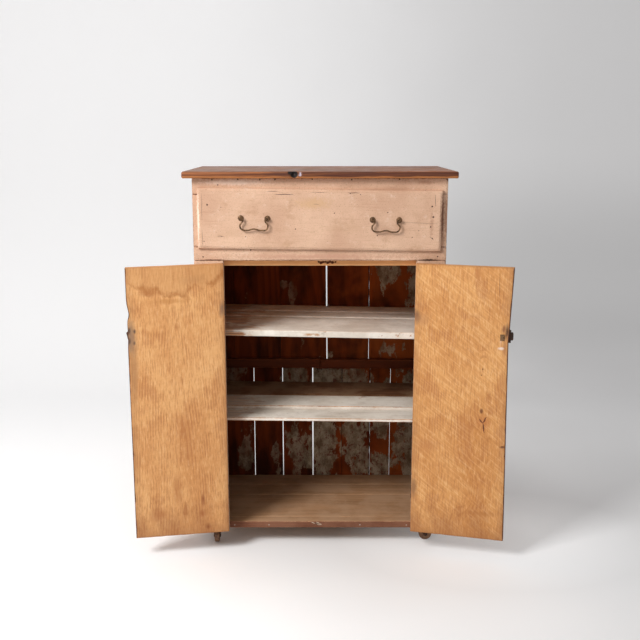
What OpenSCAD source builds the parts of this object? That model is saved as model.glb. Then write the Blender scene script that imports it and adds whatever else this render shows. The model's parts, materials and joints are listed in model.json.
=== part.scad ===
// Country baker's cabinet: one wide lipped drawer over a cupboard with two single-board
// doors, two plank shelves and a plank floor, on four small swivelling casters.
// Millimetres. +X is the cabinet's right as seen from the front, +Y its back, +Z up.
// It stands on Z = 0, with both doors swung wide open. Depths are written from the front
// plane of the face frame, and front_y carries them to the origin.

/* [Case] */
// Height of the worktop above the ground
overall_h = 1150; // [1100:5:1200]
// Width of the case across the face frame
case_w = 730; // [700:5:760]
// Depth of the case from the face frame to the back of the back boards
case_d = 425; // [415:5:460]
// Thickness of the case boards
board_t = 22; // [20:1:24]
// Height of the bottom of the stiles above the ground
case_bottom = 52; // [50:1:54]
// Thickness of the back boards
back_t = 14; // [10:1:16]

/* [Worktop] */
// Thickness of the top board
top_t = 20; // [18:1:24]
// Overhang of the top board on each side
top_over_side = 26; // [20:1:35]
// Overhang of the top board at the front
top_over_front = 25; // [20:1:35]
// Width of the planed-off arris round the top board
top_ease = 3; // [1:0.5:5]

/* [Face frame] */
// Height of the rail under the top board
top_rail_h = 45; // [40:1:50]
// Height of the underside of the drawer rail above the ground
drawer_rail_z = 894; // [885:1:900]
// Height of the drawer rail
drawer_rail_h = 40; // [36:1:42]
// Width of each cupboard stile
stile_w = 85; // [75:1:90]
// Width of the short stile beside the drawer
drawer_stile_w = 23; // [20:1:23]

/* [Drawer] */
// Width of the drawer front over its lip
drawer_w = 700; // [690:1:704]
// Height of the drawer front over its lip
drawer_h = 175; // [165:1:178]
// Height of the middle of the drawer front above the ground
drawer_mid_z = 1012.5; // [1008:0.5:1015]
// How far the drawer front stands proud of the face frame
drawer_proud = 13; // [10:1:16]
// Radius of the rounded edge round the drawer front
drawer_round = 9; // [5:1:10]
// Angle by which the worn runners let the drawer hang to the right
drawer_tilt = 0.7; // [0:0.1:0.7]
// Distance between the posts of one pull
pull_centres = 76; // [70:1:82]
// Distance of each pull from the middle of the drawer front
pull_x = 188; // [170:1:210]
// Diameter of the bail wire
bail_wire_d = 4.4; // [3.8:0.1:4.6]

/* [Doors] */
// Width of each door
door_w = 278.5; // [278:0.1:279]
// Thickness of each door
door_t = 21.4; // [18:0.1:21.4]
// Height of the bottom of the doors above the ground
door_bottom = 66; // [62:1:70]
// Height of the top of the doors above the ground
door_top = 889; // [884:1:890]
// Angle to which the left door stands open
left_open = 170; // [90:1:180]
// Angle to which the right door stands open
right_open = 166; // [90:1:180]
// Heights of the middles of the upper and lower butt hinges
hinge_z = [754, 184]; // [150:1:780]
// Height of the cupboard catch
catch_z = 686; // [680:1:700]

/* [Inside] */
// Height of the front edge of the upper shelf
upper_shelf_z = 679; // [660:1:700]
// Slope of the upper shelf, down to the right
upper_shelf_tilt = 1.1; // [0:0.1:1.2]
// Height of the front edge of the lower shelf
lower_shelf_z = 407.5; // [390:1:430]
// Slope of the lower shelf, down to the right
lower_shelf_tilt = 0.7; // [0:0.1:1.2]
// Height of the top of the floor
floor_z = 77; // [76:1:78]
// Distance of the shelves' front edges from the face frame's front plane
shelf_setback = 30; // [26:1:40]

/* [Casters] */
// Diameter of the wooden wheels
wheel_d = 40; // [36:1:40]
// Width of the wheel's tread
wheel_w = 14; // [12:1:16]
// Distance from the swivel to the axle, measured along the ground
caster_trail = 17; // [14:1:20]
// Swivel places across the cabinet: left pair and right pair
caster_x = [-322, 314]; // [-325:1:325]
// Swivel places from the face frame: front pair and back pair
caster_y = [62, 366]; // [55:1:375]

/* [Hidden] */
$fn = 48;

// Finishes
pink_paint = "#dcb397";
stained_pine = "#8a4f33";
bare_pine = "#c58d55";
shelf_paint = "#cbbba8";
old_brown = "#5b3722";
back_brown = "#4d2415";
dark_iron = "#3a2f2a";
aged_brass = "#7a6547";
wheel_wood = "#8e6f50";

// The middle of the object, with its doors open, lies over the origin
front_y = -164;
snug = 0.3;            // gap between wooden pieces that slide or swing past each other

case_top = overall_h - top_t;
case_x = case_w / 2;
inner_x = case_x - board_t;
inner_y = case_d - back_t;
opening_x = case_x - stile_w;
drawer_rail_top = drawer_rail_z + drawer_rail_h;
top_rail_z = case_top - top_rail_h;

// Dust board: its front edge shows below the drawer rail
dust_show = 18;
dust_z = drawer_rail_z - dust_show;
dust_top = dust_z + board_t;

// Drawer box behind its front
core_h = 140;
core_depth = 9;
core_gap = 2;          // between the core and the stile beside it
core_shoulder = 13;    // from the core's end to the drawer's side
core_drop = 2.5;       // of the core's middle below the lip's
core_x = case_x - drawer_stile_w - core_gap;
core_z = drawer_mid_z - core_h / 2 - core_drop;
box_side_t = 14;
box_back_t = 12;
box_bottom_t = 8;
box_bottom_lift = 8;
box_side_drop = 8;     // of the sides' tops below the core's
box_back_gap = 27;     // from the drawer's back to the back boards
box_out_x = core_x - core_shoulder;
box_in_x = box_out_x - box_side_t;
box_side_h = core_h - box_side_drop;
box_back_y = inner_y - box_back_gap;
bottom_z = [core_z + box_bottom_lift, core_z + box_bottom_lift + box_bottom_t];
groove_depth = 5;
runner_w = 40;
guide_h = 20;
guide_gap = 1.5;

// Pulls
pull_rise = 2.5;
pull_z = drawer_mid_z + pull_rise;
post_stand = 9;        // from the drawer's face to the bail's pivot
post_head_w = 6;
post_eye_r = 4.4;
post_bore_r = 1.65;
post_bolt_r = 2.2;
bolt_hole_r = 2.25;
nut_side = 10;
nut_t = 4;
bail_pin_r = 1.6;
wire_r = bail_wire_d / 2;

// Hinges: the pin stands just proud of the face frame
pin_x = opening_x - 0.5;
pin_y = -4.2;
knuckle_r = 4;
pin_r = 1.8;
pin_bore_r = 1.85;
leaf_h = 39;
leaf_t = 1.8;
leaf_w = 17;
leaf_off = 0.3;        // from the plane of the pin to each leaf
knuckle_gap = 0.2;
mortise_gap = 0.1;
leaf_back = pin_y + leaf_w + mortise_gap;
door_face = snug;      // the doors' outer faces, when closed, from the face frame's plane
door_hinge_x = opening_x - 1;
door_free_x = door_hinge_x - door_w;

// Cupboard catch, measured outwards from the door's face
spindle_x = 27;        // from the meeting line of the doors
spindle_r = 4;
spindle_gap = 0.3;
spindle_fit = 0.06;    // in the boss that it turns in
crank_r = 8;
crank_pin_r = 1.5;
crank_play = 0.5;
crank_gap = 0.4;       // between the crank and the bolt that it lies over
bolt_h = 24;
bolt_span = [-3, 41];  // from its tip to its heel
bolt_travel = 4.9;
bolt_near = 2;
bolt_t = 3;
bolt_far = bolt_near + bolt_t;
plate_t = 1.6;
catch_depth = 9.6;
catch_wall = 2;
catch_span = [4, 50];
catch_w = catch_span[1] - catch_span[0];
catch_h = 38;
boss_r = 8;
boss_top = 12;
keeper_t = 1.5;
bridge_gap = 0.8;      // between the bolt and the keeper's bridge

// Floor and shelves: boards are listed from front to back, and a seam is the back edge of
// the board in front of it
floor_t = 22;
seam_gap = 1.5;
floor_seams = [58, 234, 322];
upper_seams = [235, 313];
lower_seams = [126, 243];
upper_thick = [20, 23, 25];
lower_thick = [10, 19, 19];
upper_bed = upper_shelf_z - upper_thick[0];
lower_bed = lower_shelf_z - lower_thick[0];
shelf_back_y = inner_y - 2;
shelf_end_gap = 0.6;
cleat_w = 20;
cleat_h = 24;
cleat_y = [board_t + 6, inner_y - 24];

// Casters
plate_z = floor_z - floor_t;
caster_plate_t = 2.5;
caster_plate_side = 42;
crown_t = 3;
crown_r = 15;
king_r = 4;
king_bore_r = 4.06;
axle_r = 2.5;
axle_bore_r = 2.56;
cheek_t = 2.6;
cheek_gap = 0.6;
crown_gap = 0.4;       // from the crown to the plate above and to the pin's head below
crown_top = plate_z - caster_plate_t - crown_gap;
wheel_z = wheel_d / 2;
// Direction of each wheel from its swivel: 0 trails to the front, 90 to the right
caster_turn = [0, 90, 205, 140];

// ---------------------------------------------------------------- helpers

// A block between two corners, with depths from the face frame's front plane
module block(x, y, z) {
    translate([x[0], front_y + y[0], z[0]])
        cube([x[1] - x[0], y[1] - y[0], z[1] - z[0]]);
}

// An upright outline, drawn across X and Z, from depth y[0] to depth y[1]
module upright(y, points) {
    translate([0, front_y + y[1], 0])
        rotate([90, 0, 0])
            linear_extrude(y[1] - y[0])
                polygon(points);
}

// Tilts what it holds about the front-to-back line through x = 0 at height z
module tilt_about(z, angle) {
    translate([0, 0, z])
        rotate([0, angle, 0])
            translate([0, 0, -z])
                children();
}

// Points of a quarter-round of radius r about (cx, cy), from angle a0 to a1
function round_off(cx, cy, r, a0, a1, steps = 4) = [
    for (i = [0 : steps])
        let (a = a0 + (a1 - a0) * i / steps)
        [cx + r * cos(a), cy + r * sin(a)]
];

// Half-outline, mirrored over the vertical line x = 0
function mirrored(points) = concat(
    points,
    [for (i = [len(points) - 1 : -1 : 0]) [-points[i][0], points[i][1]]]
);

// A place on a bent wire as [x, y, heading], t of the way along one step: ["go", length]
// or ["turn", radius, angle], where a positive angle turns to the left
function along(at, step, t) =
    step[0] == "go"
        ? [at[0] + t * step[1] * cos(at[2]), at[1] + t * step[1] * sin(at[2]), at[2]]
        : let (side = sign(step[2]), h = at[2] + t * step[2])
          [
              at[0] + side * step[1] * (sin(h) - sin(at[2])),
              at[1] - side * step[1] * (cos(h) - cos(at[2])),
              h
          ];

// Places all along a bent wire, one for each 15 degrees of turning
function bent(steps, at, i = 0) =
    i == len(steps)
        ? [at]
        : let (step = steps[i], n = step[0] == "go" ? 1 : ceil(abs(step[2]) / 15))
          concat(
              [for (k = [0 : n - 1]) along(at, step, k / n)],
              bent(steps, along(at, step, 1), i + 1)
          );

// A round wire of radius r along such places
module wire(path, r, sides = 12) {
    last = (len(path) - 1) * sides;
    points = [
        for (p = path, k = [0 : sides - 1])
            let (a = 360 * k / sides)
            [p[0] - r * cos(a) * sin(p[2]), p[1] + r * cos(a) * cos(p[2]), r * sin(a)]
    ];
    walls = [
        for (i = [0 : len(path) - 2], k = [0 : sides - 1])
            let (a = i * sides + k, b = i * sides + (k + 1) % sides)
            each [[a, a + sides, b + sides], [a, b + sides, b]]
    ];
    start = [for (k = [0 : sides - 1]) k];
    end = [for (k = [sides - 1 : -1 : 0]) last + k];
    polyhedron(points, concat([start], walls, [end]));
}

// ---------------------------------------------------------------- case

// Worktop with its arrises planed off at the front and sides, and a lost knot in front
module top_board() {
    half = case_x + top_over_side;
    e = top_ease;
    side_profile = mirrored([
        [half - e / 2, case_top], [half, case_top + e / 2],
        [half, overall_h - e], [half - e, overall_h]
    ]);
    front = front_y - top_over_front;
    back = front_y + case_d;
    front_profile = [
        [back, case_top], [back, overall_h],
        [front + e, overall_h], [front, overall_h - e],
        [front, case_top + e / 2], [front + e / 2, case_top]
    ];
    knot = [-64, front, overall_h - 5];
    knot_r = 4;
    knot_deep = 6.5;
    color(stained_pine)
        difference() {
            intersection() {
                translate([0, back, 0])
                    rotate([90, 0, 0])
                        linear_extrude(back - front)
                            polygon(side_profile);
                rotate([90, 0, 90])
                    translate([0, 0, -half])
                        linear_extrude(2 * half)
                            polygon(front_profile);
            }
            translate(knot)
                rotate([12, 90, 0])
                    cylinder(h = 2 * knot_deep, r = knot_r, center = true);
        }
}

module side_board(side) {
    span = side < 0 ? [-case_x, -inner_x] : [inner_x, case_x];
    color(pink_paint)
        block(span, [board_t, inner_y], [case_bottom, case_top]);
}

module side_left() side_board(-1);
module side_right() side_board(1);

module top_rail() {
    color(pink_paint)
        block([-case_x, case_x], [0, board_t], [top_rail_z, case_top]);
}

module drawer_rail() {
    color(pink_paint)
        block([-case_x, case_x], [0, board_t], [drawer_rail_z, drawer_rail_top]);
}

module drawer_stiles() {
    inner = case_x - drawer_stile_w;
    color(pink_paint)
        for (span = [[-case_x, -inner], [inner, case_x]])
            block(span, [0, board_t], [drawer_rail_top, top_rail_z]);
}

// Cupboard stile with the shallow mortises that its hinge leaves lie in
module stile(side) {
    span = side < 0 ? [-case_x, -opening_x] : [opening_x, case_x];
    leaf_in = pin_x + leaf_off + leaf_t;
    cut = side < 0 ? [-leaf_in, -opening_x + 1] : [opening_x - 1, leaf_in];
    color(pink_paint)
        difference() {
            block(span, [0, board_t], [case_bottom, drawer_rail_z]);
            for (z = hinge_z)
                block(cut, [-1, leaf_back],
                    [z - leaf_h / 2 - mortise_gap, z + leaf_h / 2 + mortise_gap]);
        }
}

module stile_left() stile(-1);
module stile_right() stile(1);

// Board under the drawer; its bare front edge is chipped away right of the middle
module dust_board() {
    color(old_brown)
        difference() {
            block([-inner_x, inner_x], [board_t, inner_y], [dust_z, dust_top]);
            upright([board_t - 1, board_t + 5], [
                [4, dust_z - 1], [9, dust_z + 3], [19, dust_z + 5],
                [31, dust_z + 3], [40, dust_z - 1]
            ]);
        }
}

// L-shaped runner; the drawer's side has worn its track down to the drawer's own slope
module drawer_runner(side) {
    inner_edge = inner_x - runner_w;
    guide_edge = box_out_x + guide_gap;
    top = core_z + guide_h;
    track = side < 0 ? [-guide_edge, -inner_edge + 1] : [inner_edge - 1, guide_edge];
    span = side < 0 ? [-inner_x, -inner_edge] : [inner_edge, inner_x];
    color(bare_pine)
        difference() {
            block(span, [board_t, inner_y], [dust_top, top]);
            tilt_about(drawer_mid_z, drawer_tilt)
                block(track, [0, case_d], [core_z, top + 2 * guide_h]);
        }
}

module drawer_runner_left() drawer_runner(-1);
module drawer_runner_right() drawer_runner(1);

// ---------------------------------------------------------------- shelves and floor

// Front and back of board i in a row of boards from depth y[0] to depth y[1]
function lane(i, y, seams) = [
    i == 0 ? y[0] : seams[i - 1] + seam_gap,
    i == len(seams) ? y[1] : seams[i]
];

// Board i of a shelf, its underside on the cleats' slope
module shelf_board(i, bed, tilt, seams, thick) {
    half = inner_x - shelf_end_gap;
    tilt_about(bed, tilt)
        block([-half, half], lane(i, [shelf_setback, shelf_back_y], seams), [bed, bed + thick[i]]);
}

module upper_shelf(i) {
    color(shelf_paint)
        shelf_board(i, upper_bed, upper_shelf_tilt, upper_seams, upper_thick);
}

module lower_shelf(i) {
    color(i == 2 ? old_brown : shelf_paint)
        shelf_board(i, lower_bed, lower_shelf_tilt, lower_seams, lower_thick);
}

module upper_shelf_front() upper_shelf(0);
module upper_shelf_middle() upper_shelf(1);
module upper_shelf_back() upper_shelf(2);
module lower_shelf_front() lower_shelf(0);
module lower_shelf_middle() lower_shelf(1);
module lower_shelf_back() lower_shelf(2);

// Cleats nailed to the sides, planed on top to the slope of the shelf they carry
module shelf_cleats() {
    color(old_brown)
        for (shelf = [[upper_bed, upper_shelf_tilt], [lower_bed, lower_shelf_tilt]])
            for (side = [-1, 1]) {
                drop = side * inner_x * tan(shelf[1]);
                span = side < 0 ? [-inner_x, -inner_x + cleat_w]
                                : [inner_x - cleat_w, inner_x];
                difference() {
                    block(span, cleat_y, [shelf[0] - drop - cleat_h, shelf[0] - drop + 4]);
                    tilt_about(shelf[0], shelf[1])
                        block([-case_x, case_x], [0, case_d], [shelf[0], shelf[0] + cleat_h]);
                }
            }
}

module floor_board(i) {
    color(old_brown)
        block([-inner_x, inner_x], lane(i, [board_t, inner_y - snug], floor_seams),
            [floor_z - floor_t, floor_z]);
}

module floor_front_strip() floor_board(0);
module floor_front_board() floor_board(1);
module floor_middle_board() floor_board(2);
module floor_back_board() floor_board(3);

// ---------------------------------------------------------------- back

// Gaps between back boards: middle at the foot, middle at the head, width at each
upper_gaps = [[-291, -290, 0.6, 0.8], [-134, -135, 0.6, 0.6], [24, 20, 3, 6], [166, 164, 3, 3]];
lower_gaps = [[-228, -228, 3, 2.5], [-129, -130, 4, 4], [-25, -26, 6, 5], [76, 76, 0.5, 2.5],
              [173, 172, 3, 2.5], [243, 243, 2, 2]];
back_edge = case_x - 2;
tier_joint = 487;

// One tier of upright planks between heights z0 and z1
module plank_tier(gaps, z0, z1) {
    ends = concat([[-back_edge, -back_edge, 0, 0]], gaps, [[back_edge, back_edge, 0, 0]]);
    for (i = [0 : len(ends) - 2]) {
        left = ends[i];
        right = ends[i + 1];
        upright([inner_y, case_d], [
            [left[0] + left[2] / 2, z0], [right[0] - right[2] / 2, z0],
            [right[1] - right[3] / 2, z1], [left[1] + left[3] / 2, z1]
        ]);
    }
}

module back_boards_upper() {
    color(back_brown)
        plank_tier(upper_gaps, tier_joint, case_top);
}

module back_boards_lower() {
    color(back_brown)
        plank_tier(lower_gaps, case_bottom, tier_joint - seam_gap);
}

// Batten across the joint of the two tiers, in two lengths
batten_t = 18;
batten_z = [470, 502];
batten_step = 3;
module back_batten_left() {
    color(old_brown)
        block([-inner_x, -1], [inner_y - batten_t, inner_y], batten_z);
}

module back_batten_right() {
    color(old_brown)
        block([0.5, inner_x], [inner_y - batten_t, inner_y],
            [batten_z[0] - batten_step, batten_z[1] - batten_step]);
}

module back_rail_top() {
    rail_h = 40;
    color(old_brown)
        block([-inner_x, inner_x], [inner_y - board_t, inner_y], [case_top - rail_h, case_top]);
}

// ---------------------------------------------------------------- hinges

// Puts what it holds at a closed door's hinge pin and swings it open; side is -1 or 1
module swung(side) {
    angle = side < 0 ? -left_open : right_open;
    translate([side * pin_x, front_y + pin_y, 0])
        rotate([0, 0, angle])
            translate([-side * pin_x, -front_y - pin_y, 0])
                children();
}

// One butt hinge leaf about the Z axis, its plate running to +Y on the side toward.
// ends: true for the two outer knuckles, false for the middle one
module hinge_leaf(toward, ends) {
    third = leaf_h / 3;
    outer = [[-leaf_h / 2, -third / 2 - knuckle_gap], [third / 2 + knuckle_gap, leaf_h / 2]];
    middle = [[-third / 2 + knuckle_gap, third / 2 - knuckle_gap]];
    own = ends ? outer : middle;
    others = ends ? [[-third / 2 - knuckle_gap, third / 2 + knuckle_gap]]
                  : [[-leaf_h / 2 - 1, -third / 2 + knuckle_gap],
                     [third / 2 - knuckle_gap, leaf_h / 2 + 1]];
    difference() {
        union() {
            translate([toward > 0 ? leaf_off : -leaf_off - leaf_t, 0, -leaf_h / 2])
                cube([leaf_t, leaf_w, leaf_h]);
            for (z = own)
                translate([0, 0, z[0]])
                    cylinder(h = z[1] - z[0], r = knuckle_r);
        }
        for (z = others)
            translate([0, 0, z[0]])
                cylinder(h = z[1] - z[0], r = knuckle_r + knuckle_gap);
        cylinder(h = 2 * leaf_h, r = pin_bore_r, center = true);
    }
}

module frame_hinge_leaves() {
    color(dark_iron)
        for (side = [-1, 1], z = hinge_z)
            translate([side * pin_x, front_y + pin_y, z])
                hinge_leaf(side, true);
}

module door_leaves(side) {
    color(dark_iron)
        swung(side)
            for (z = hinge_z)
                translate([side * pin_x, front_y + pin_y, z])
                    hinge_leaf(-side, false);
}

module door_left_leaves() door_leaves(-1);
module door_right_leaves() door_leaves(1);

// Loose pins, each with a round head resting on the top knuckle
module hinge_pins() {
    head_h = 2.4;
    color(dark_iron)
        for (side = [-1, 1], z = hinge_z)
            translate([side * pin_x, front_y + pin_y, z - leaf_h / 2 - 1]) {
                cylinder(h = leaf_h + 1, r = pin_r);
                translate([0, 0, leaf_h + 1])
                    rotate_extrude()
                        polygon([[0, 0], [3, 0], [3.2, 1], [2.4, 2], [0, head_h]]);
            }
}

// ---------------------------------------------------------------- drawer

module in_drawer() {
    tilt_about(drawer_mid_z, drawer_tilt)
        children();
}

// Drawer front: a rabbeted board whose lip laps the frame and is rounded all round
module drawer_front() {
    r = drawer_round;
    hw = drawer_w / 2;
    z0 = drawer_mid_z - drawer_h / 2;
    z1 = drawer_mid_z + drawer_h / 2;
    face = front_y - snug - drawer_proud;
    lip_back = front_y - snug;
    across = concat(
        [[hw, lip_back]], round_off(hw - r, face + r, r, 0, -90),
        round_off(-hw + r, face + r, r, -90, -180), [[-hw, lip_back]]
    );
    upward = concat(
        [[lip_back, z0]], [[lip_back, z1]],
        round_off(face + r, z1 - r, r, 90, 180), round_off(face + r, z0 + r, r, 180, 270)
    );
    color(pink_paint)
        in_drawer()
            difference() {
                union() {
                    intersection() {
                        translate([0, 0, z0])
                            linear_extrude(z1 - z0)
                                polygon(across);
                        rotate([90, 0, 90])
                            translate([0, 0, -hw])
                                linear_extrude(2 * hw)
                                    polygon(upward);
                    }
                    block([-core_x, core_x], [-snug, core_depth], [core_z, core_z + core_h]);
                }
                block([-box_in_x - groove_depth, box_in_x + groove_depth],
                    [core_depth - groove_depth, core_depth + 1], bottom_z);
                for (x = post_places())
                    translate([x, front_y, pull_z])
                        rotate([90, 0, 0])
                            cylinder(h = 80, r = bolt_hole_r, center = true);
            }
}

// Drawer side, grooved inside for the bottom
module drawer_side(side) {
    span = side < 0 ? [-box_out_x, -box_in_x] : [box_in_x, box_out_x];
    cut = side < 0 ? [-box_in_x - groove_depth, -box_in_x + 1]
                   : [box_in_x - 1, box_in_x + groove_depth];
    color(bare_pine)
        in_drawer()
            difference() {
                block(span, [core_depth, box_back_y], [core_z, core_z + box_side_h]);
                block(cut, [0, case_d], bottom_z);
            }
}

module drawer_side_left() drawer_side(-1);
module drawer_side_right() drawer_side(1);

module drawer_back() {
    color(bare_pine)
        in_drawer()
            block([-box_in_x, box_in_x], [box_back_y - box_back_t, box_back_y],
                [bottom_z[1], core_z + box_side_h - box_side_drop]);
}

// Drawer bottom, slid in from behind under the drawer back
module drawer_bottom() {
    edge = box_in_x + groove_depth;
    color(bare_pine)
        in_drawer()
            block([-edge, edge], [core_depth - groove_depth, box_back_y], bottom_z);
}

function post_places() = [
    for (side = [-1, 1], end = [-1, 1]) side * pull_x + end * pull_centres / 2
];

// Puts a pull's own frame, with +Z out of the drawer and +Y up, on the drawer's face
module on_drawer_face(x) {
    in_drawer()
        translate([x, front_y - snug - drawer_proud, pull_z])
            rotate([90, 0, 0])
                children();
}

// Posts: a round rosette, a turned neck and a flat-sided eye, on a bolt through the front
module pull_posts() {
    thread = 6;        // of the bolt, past the inside of the drawer's front
    color(aged_brass)
        for (x = post_places())
            on_drawer_face(x)
                difference() {
                    union() {
                        rotate_extrude()
                            polygon([
                                [0, 0], [8.5, 0], [8.5, 0.8], [7, 1.8], [4.6, 2.2],
                                [3, 3.2], [2.8, 6], [0, 6]
                            ]);
                        translate([0, 0, post_stand])
                            rotate([0, 90, 0])
                                cylinder(h = post_head_w, r = post_eye_r, center = true);
                        translate([0, 0, -drawer_proud - core_depth - thread])
                            cylinder(h = drawer_proud + core_depth + thread + 1, r = post_bolt_r);
                    }
                    translate([0, 0, post_stand])
                        rotate([0, 90, 0])
                            cylinder(h = 4 * post_head_w, r = post_bore_r, center = true);
                }
}

// Square nuts inside the drawer
module pull_nuts() {
    back = -drawer_proud - core_depth - snug;
    color(dark_iron)
        for (x = post_places())
            on_drawer_face(x)
                difference() {
                    translate([-nut_side / 2, -nut_side / 2, back - nut_t])
                        cube([nut_side, nut_side, nut_t]);
                    translate([0, 0, back - nut_t - 1])
                        cylinder(h = nut_t + 2, r = bolt_hole_r);
                }
}

// Half of the swan-neck bail, from the raised middle of its grip to its pivot end
bail_steps = [
    ["turn", 22, -18], ["go", 7], ["turn", 13, 18], ["go", 10.5], ["turn", 12, 92],
    ["turn", 10, 40], ["go", 4.5], ["turn", 10, -42], ["go", 2.2], ["turn", 2.4, -90]
];
bail_drop = 29.52;

module bail(x) {
    half = bent(bail_steps, [0, -bail_drop, 0]);
    last = len(half) - 1;
    whole = concat([for (i = [last : -1 : 1]) [-half[i][0], half[i][1], -half[i][2]]], half);
    pin_start = half[last][0] - 1;
    pin_end = pull_centres / 2 + post_head_w / 2 + 1.5;
    color(aged_brass)
        on_drawer_face(x)
            translate([0, 0, post_stand]) {
                wire(whole, wire_r);
                for (side = [-1, 1])
                    translate([side * pin_start, 0, 0])
                        rotate([0, side * 90, 0])
                            cylinder(h = pin_end - pin_start, r = bail_pin_r);
            }
}

module bail_left() bail(-pull_x);
module bail_right() bail(pull_x);

// ---------------------------------------------------------------- doors

// A single-board door, drawn closed. free lists its free edge from foot to head
module door_board(side, free, top_drop) {
    leaf_in = pin_x - leaf_off - leaf_t;
    cut = side < 0 ? [-door_hinge_x - 1, -leaf_in] : [leaf_in, door_hinge_x + 1];
    outline = concat(
        [[side * door_hinge_x, door_bottom]],
        free,
        [[side * door_free_x, door_top - top_drop], [side * door_hinge_x, door_top]]
    );
    difference() {
        upright([door_face, door_face + door_t], outline);
        for (z = hinge_z)
            block(cut, [-1, leaf_back],
                [z - leaf_h / 2 - mortise_gap, z + leaf_h / 2 + mortise_gap]);
    }
}

// The left door's free edge is worn hollow above the catch
module door_left_board() {
    edge = -door_free_x;
    color(bare_pine)
        swung(-1)
            door_board(-1, [
                [edge, door_bottom], [edge, 655], [edge - 1.5, 672], [edge - 1.2, 700],
                [edge - 1, 728], [edge - 5, 744], [edge - 6, 754], [edge - 3, 768], [edge, 784]
            ], 5);
}

// The right door is gouged round the catch's spindle, out towards its free edge
module door_right_board() {
    gouge_deep = 1;
    gouge = [
        [11, -11], [11, 10], [4, 16], [-12, 22], [-19, 12], [-17, -14], [-6, -22], [6, -20]
    ];
    door_back = door_face + door_t;
    color(bare_pine)
        swung(1)
            difference() {
                door_board(1, [[door_free_x, door_bottom]], 2);
                translate([spindle_x, front_y, catch_z])
                    rotate([-90, 0, 0])
                        cylinder(h = 60, r = spindle_r + spindle_gap, center = true);
                upright([door_back - gouge_deep, door_back + 1],
                    [for (p = gouge) [spindle_x + p[0], catch_z + p[1]]]);
            }
}

// ---------------------------------------------------------------- cupboard catch

// Frame of the catch's fittings: +Z out of the closed door's face, +Y up, X to the right
module on_door_face(side) {
    swung(side)
        translate([0, front_y + door_face, catch_z])
            rotate([90, 0, 0])
                children();
}

module catch_plate() {
    color(dark_iron)
        on_door_face(1)
            difference() {
                translate([catch_span[0], -catch_h / 2, 0])
                    cube([catch_w, catch_h, plate_t]);
                translate([spindle_x, 0, -1])
                    cylinder(h = plate_t + 2, r = spindle_r + spindle_gap);
            }
}

// Cast case: shelled box with eased corners and a boss that the spindle turns in
module catch_case() {
    roof_t = 2.2;
    inner_top = catch_depth - roof_t;
    ease = 4;
    w = catch_w;
    h = catch_h / 2;
    color(dark_iron)
        on_door_face(1)
            difference() {
                union() {
                    translate([catch_span[0], 0, plate_t])
                        linear_extrude(catch_depth - plate_t)
                            polygon([
                                [0, -h + ease], [ease, -h], [w - ease, -h], [w, -h + ease],
                                [w, h - ease], [w - ease, h], [ease, h], [0, h - ease]
                            ]);
                    translate([spindle_x, 0, catch_depth - 1])
                        cylinder(h = boss_top - catch_depth + 1, r1 = boss_r + 1, r2 = boss_r - 1);
                }
                translate([catch_span[0] + catch_wall, -h + catch_wall, plate_t - 1])
                    cube([w - 2 * catch_wall, catch_h - 2 * catch_wall, inner_top - plate_t + 1]);
                translate([catch_span[0] - 1, -bolt_h / 2 - snug, plate_t - 1])
                    cube([catch_wall + 2, bolt_h + 2 * snug, bolt_far + snug - plate_t + 1]);
                translate([spindle_x, 0, 0])
                    cylinder(h = 20, r = spindle_r + spindle_fit);
            }
}

// Knob and spindle with its crank, and the long burr that the spindle is riveted over
module catch_knob() {
    arm_near = bolt_far + crank_gap;
    arm_t = 1.6;
    burr_t = 2;
    burr_sink = 0.8;   // into the gouge in the door
    burr_near = burr_sink - burr_t - door_t;
    color(aged_brass)
        on_door_face(1)
            translate([spindle_x, 0, 0]) {
                translate([0, 0, burr_near])
                    cylinder(h = boss_top + 1.2 - burr_near, r = spindle_r);
                translate([0, 0, boss_top + 0.2])
                    rotate_extrude()
                        polygon([
                            [0, 0], [6.5, 0], [5, 3], [5, 5], [10, 8], [12.5, 11.5],
                            [12.5, 14], [10, 17], [5, 18.6], [0, 19]
                        ]);
                translate([0, 0, arm_near]) {
                    translate([-3, 0, 0])
                        cube([6, crank_r, arm_t]);
                    translate([0, crank_r, 0])
                        cylinder(h = arm_t, r = 3);
                }
                translate([0, crank_r, bolt_near + 0.3])
                    cylinder(h = arm_near - bolt_near - 0.2, r = crank_pin_r);
                translate([-6, -9, burr_near])
                    cube([12, 18, burr_t]);
            }
}

// Flat bolt, windowed for the spindle and slotted for the crank's pin
module catch_bolt() {
    window_x = spindle_r + bolt_travel + crank_play;
    window_y = spindle_r + crank_play;
    slot_top = crank_r + crank_pin_r + crank_play;
    slot_x = crank_pin_r + crank_play;
    tip = bolt_span[0];
    heel = bolt_span[1];
    color(dark_iron)
        on_door_face(1)
            difference() {
                translate([0, 0, bolt_near])
                    linear_extrude(bolt_t)
                        polygon([
                            [tip + 2, -bolt_h / 2], [heel, -bolt_h / 2],
                            [heel, bolt_h / 2], [tip + 2, bolt_h / 2],
                            [tip, bolt_h / 2 - 4], [tip, -bolt_h / 2 + 4]
                        ]);
                translate([spindle_x - window_x, -window_y, 0])
                    cube([2 * window_x, 2 * window_y, 10]);
                translate([spindle_x - slot_x, 0, 0])
                    cube([2 * slot_x, slot_top, 10]);
            }
}

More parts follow.
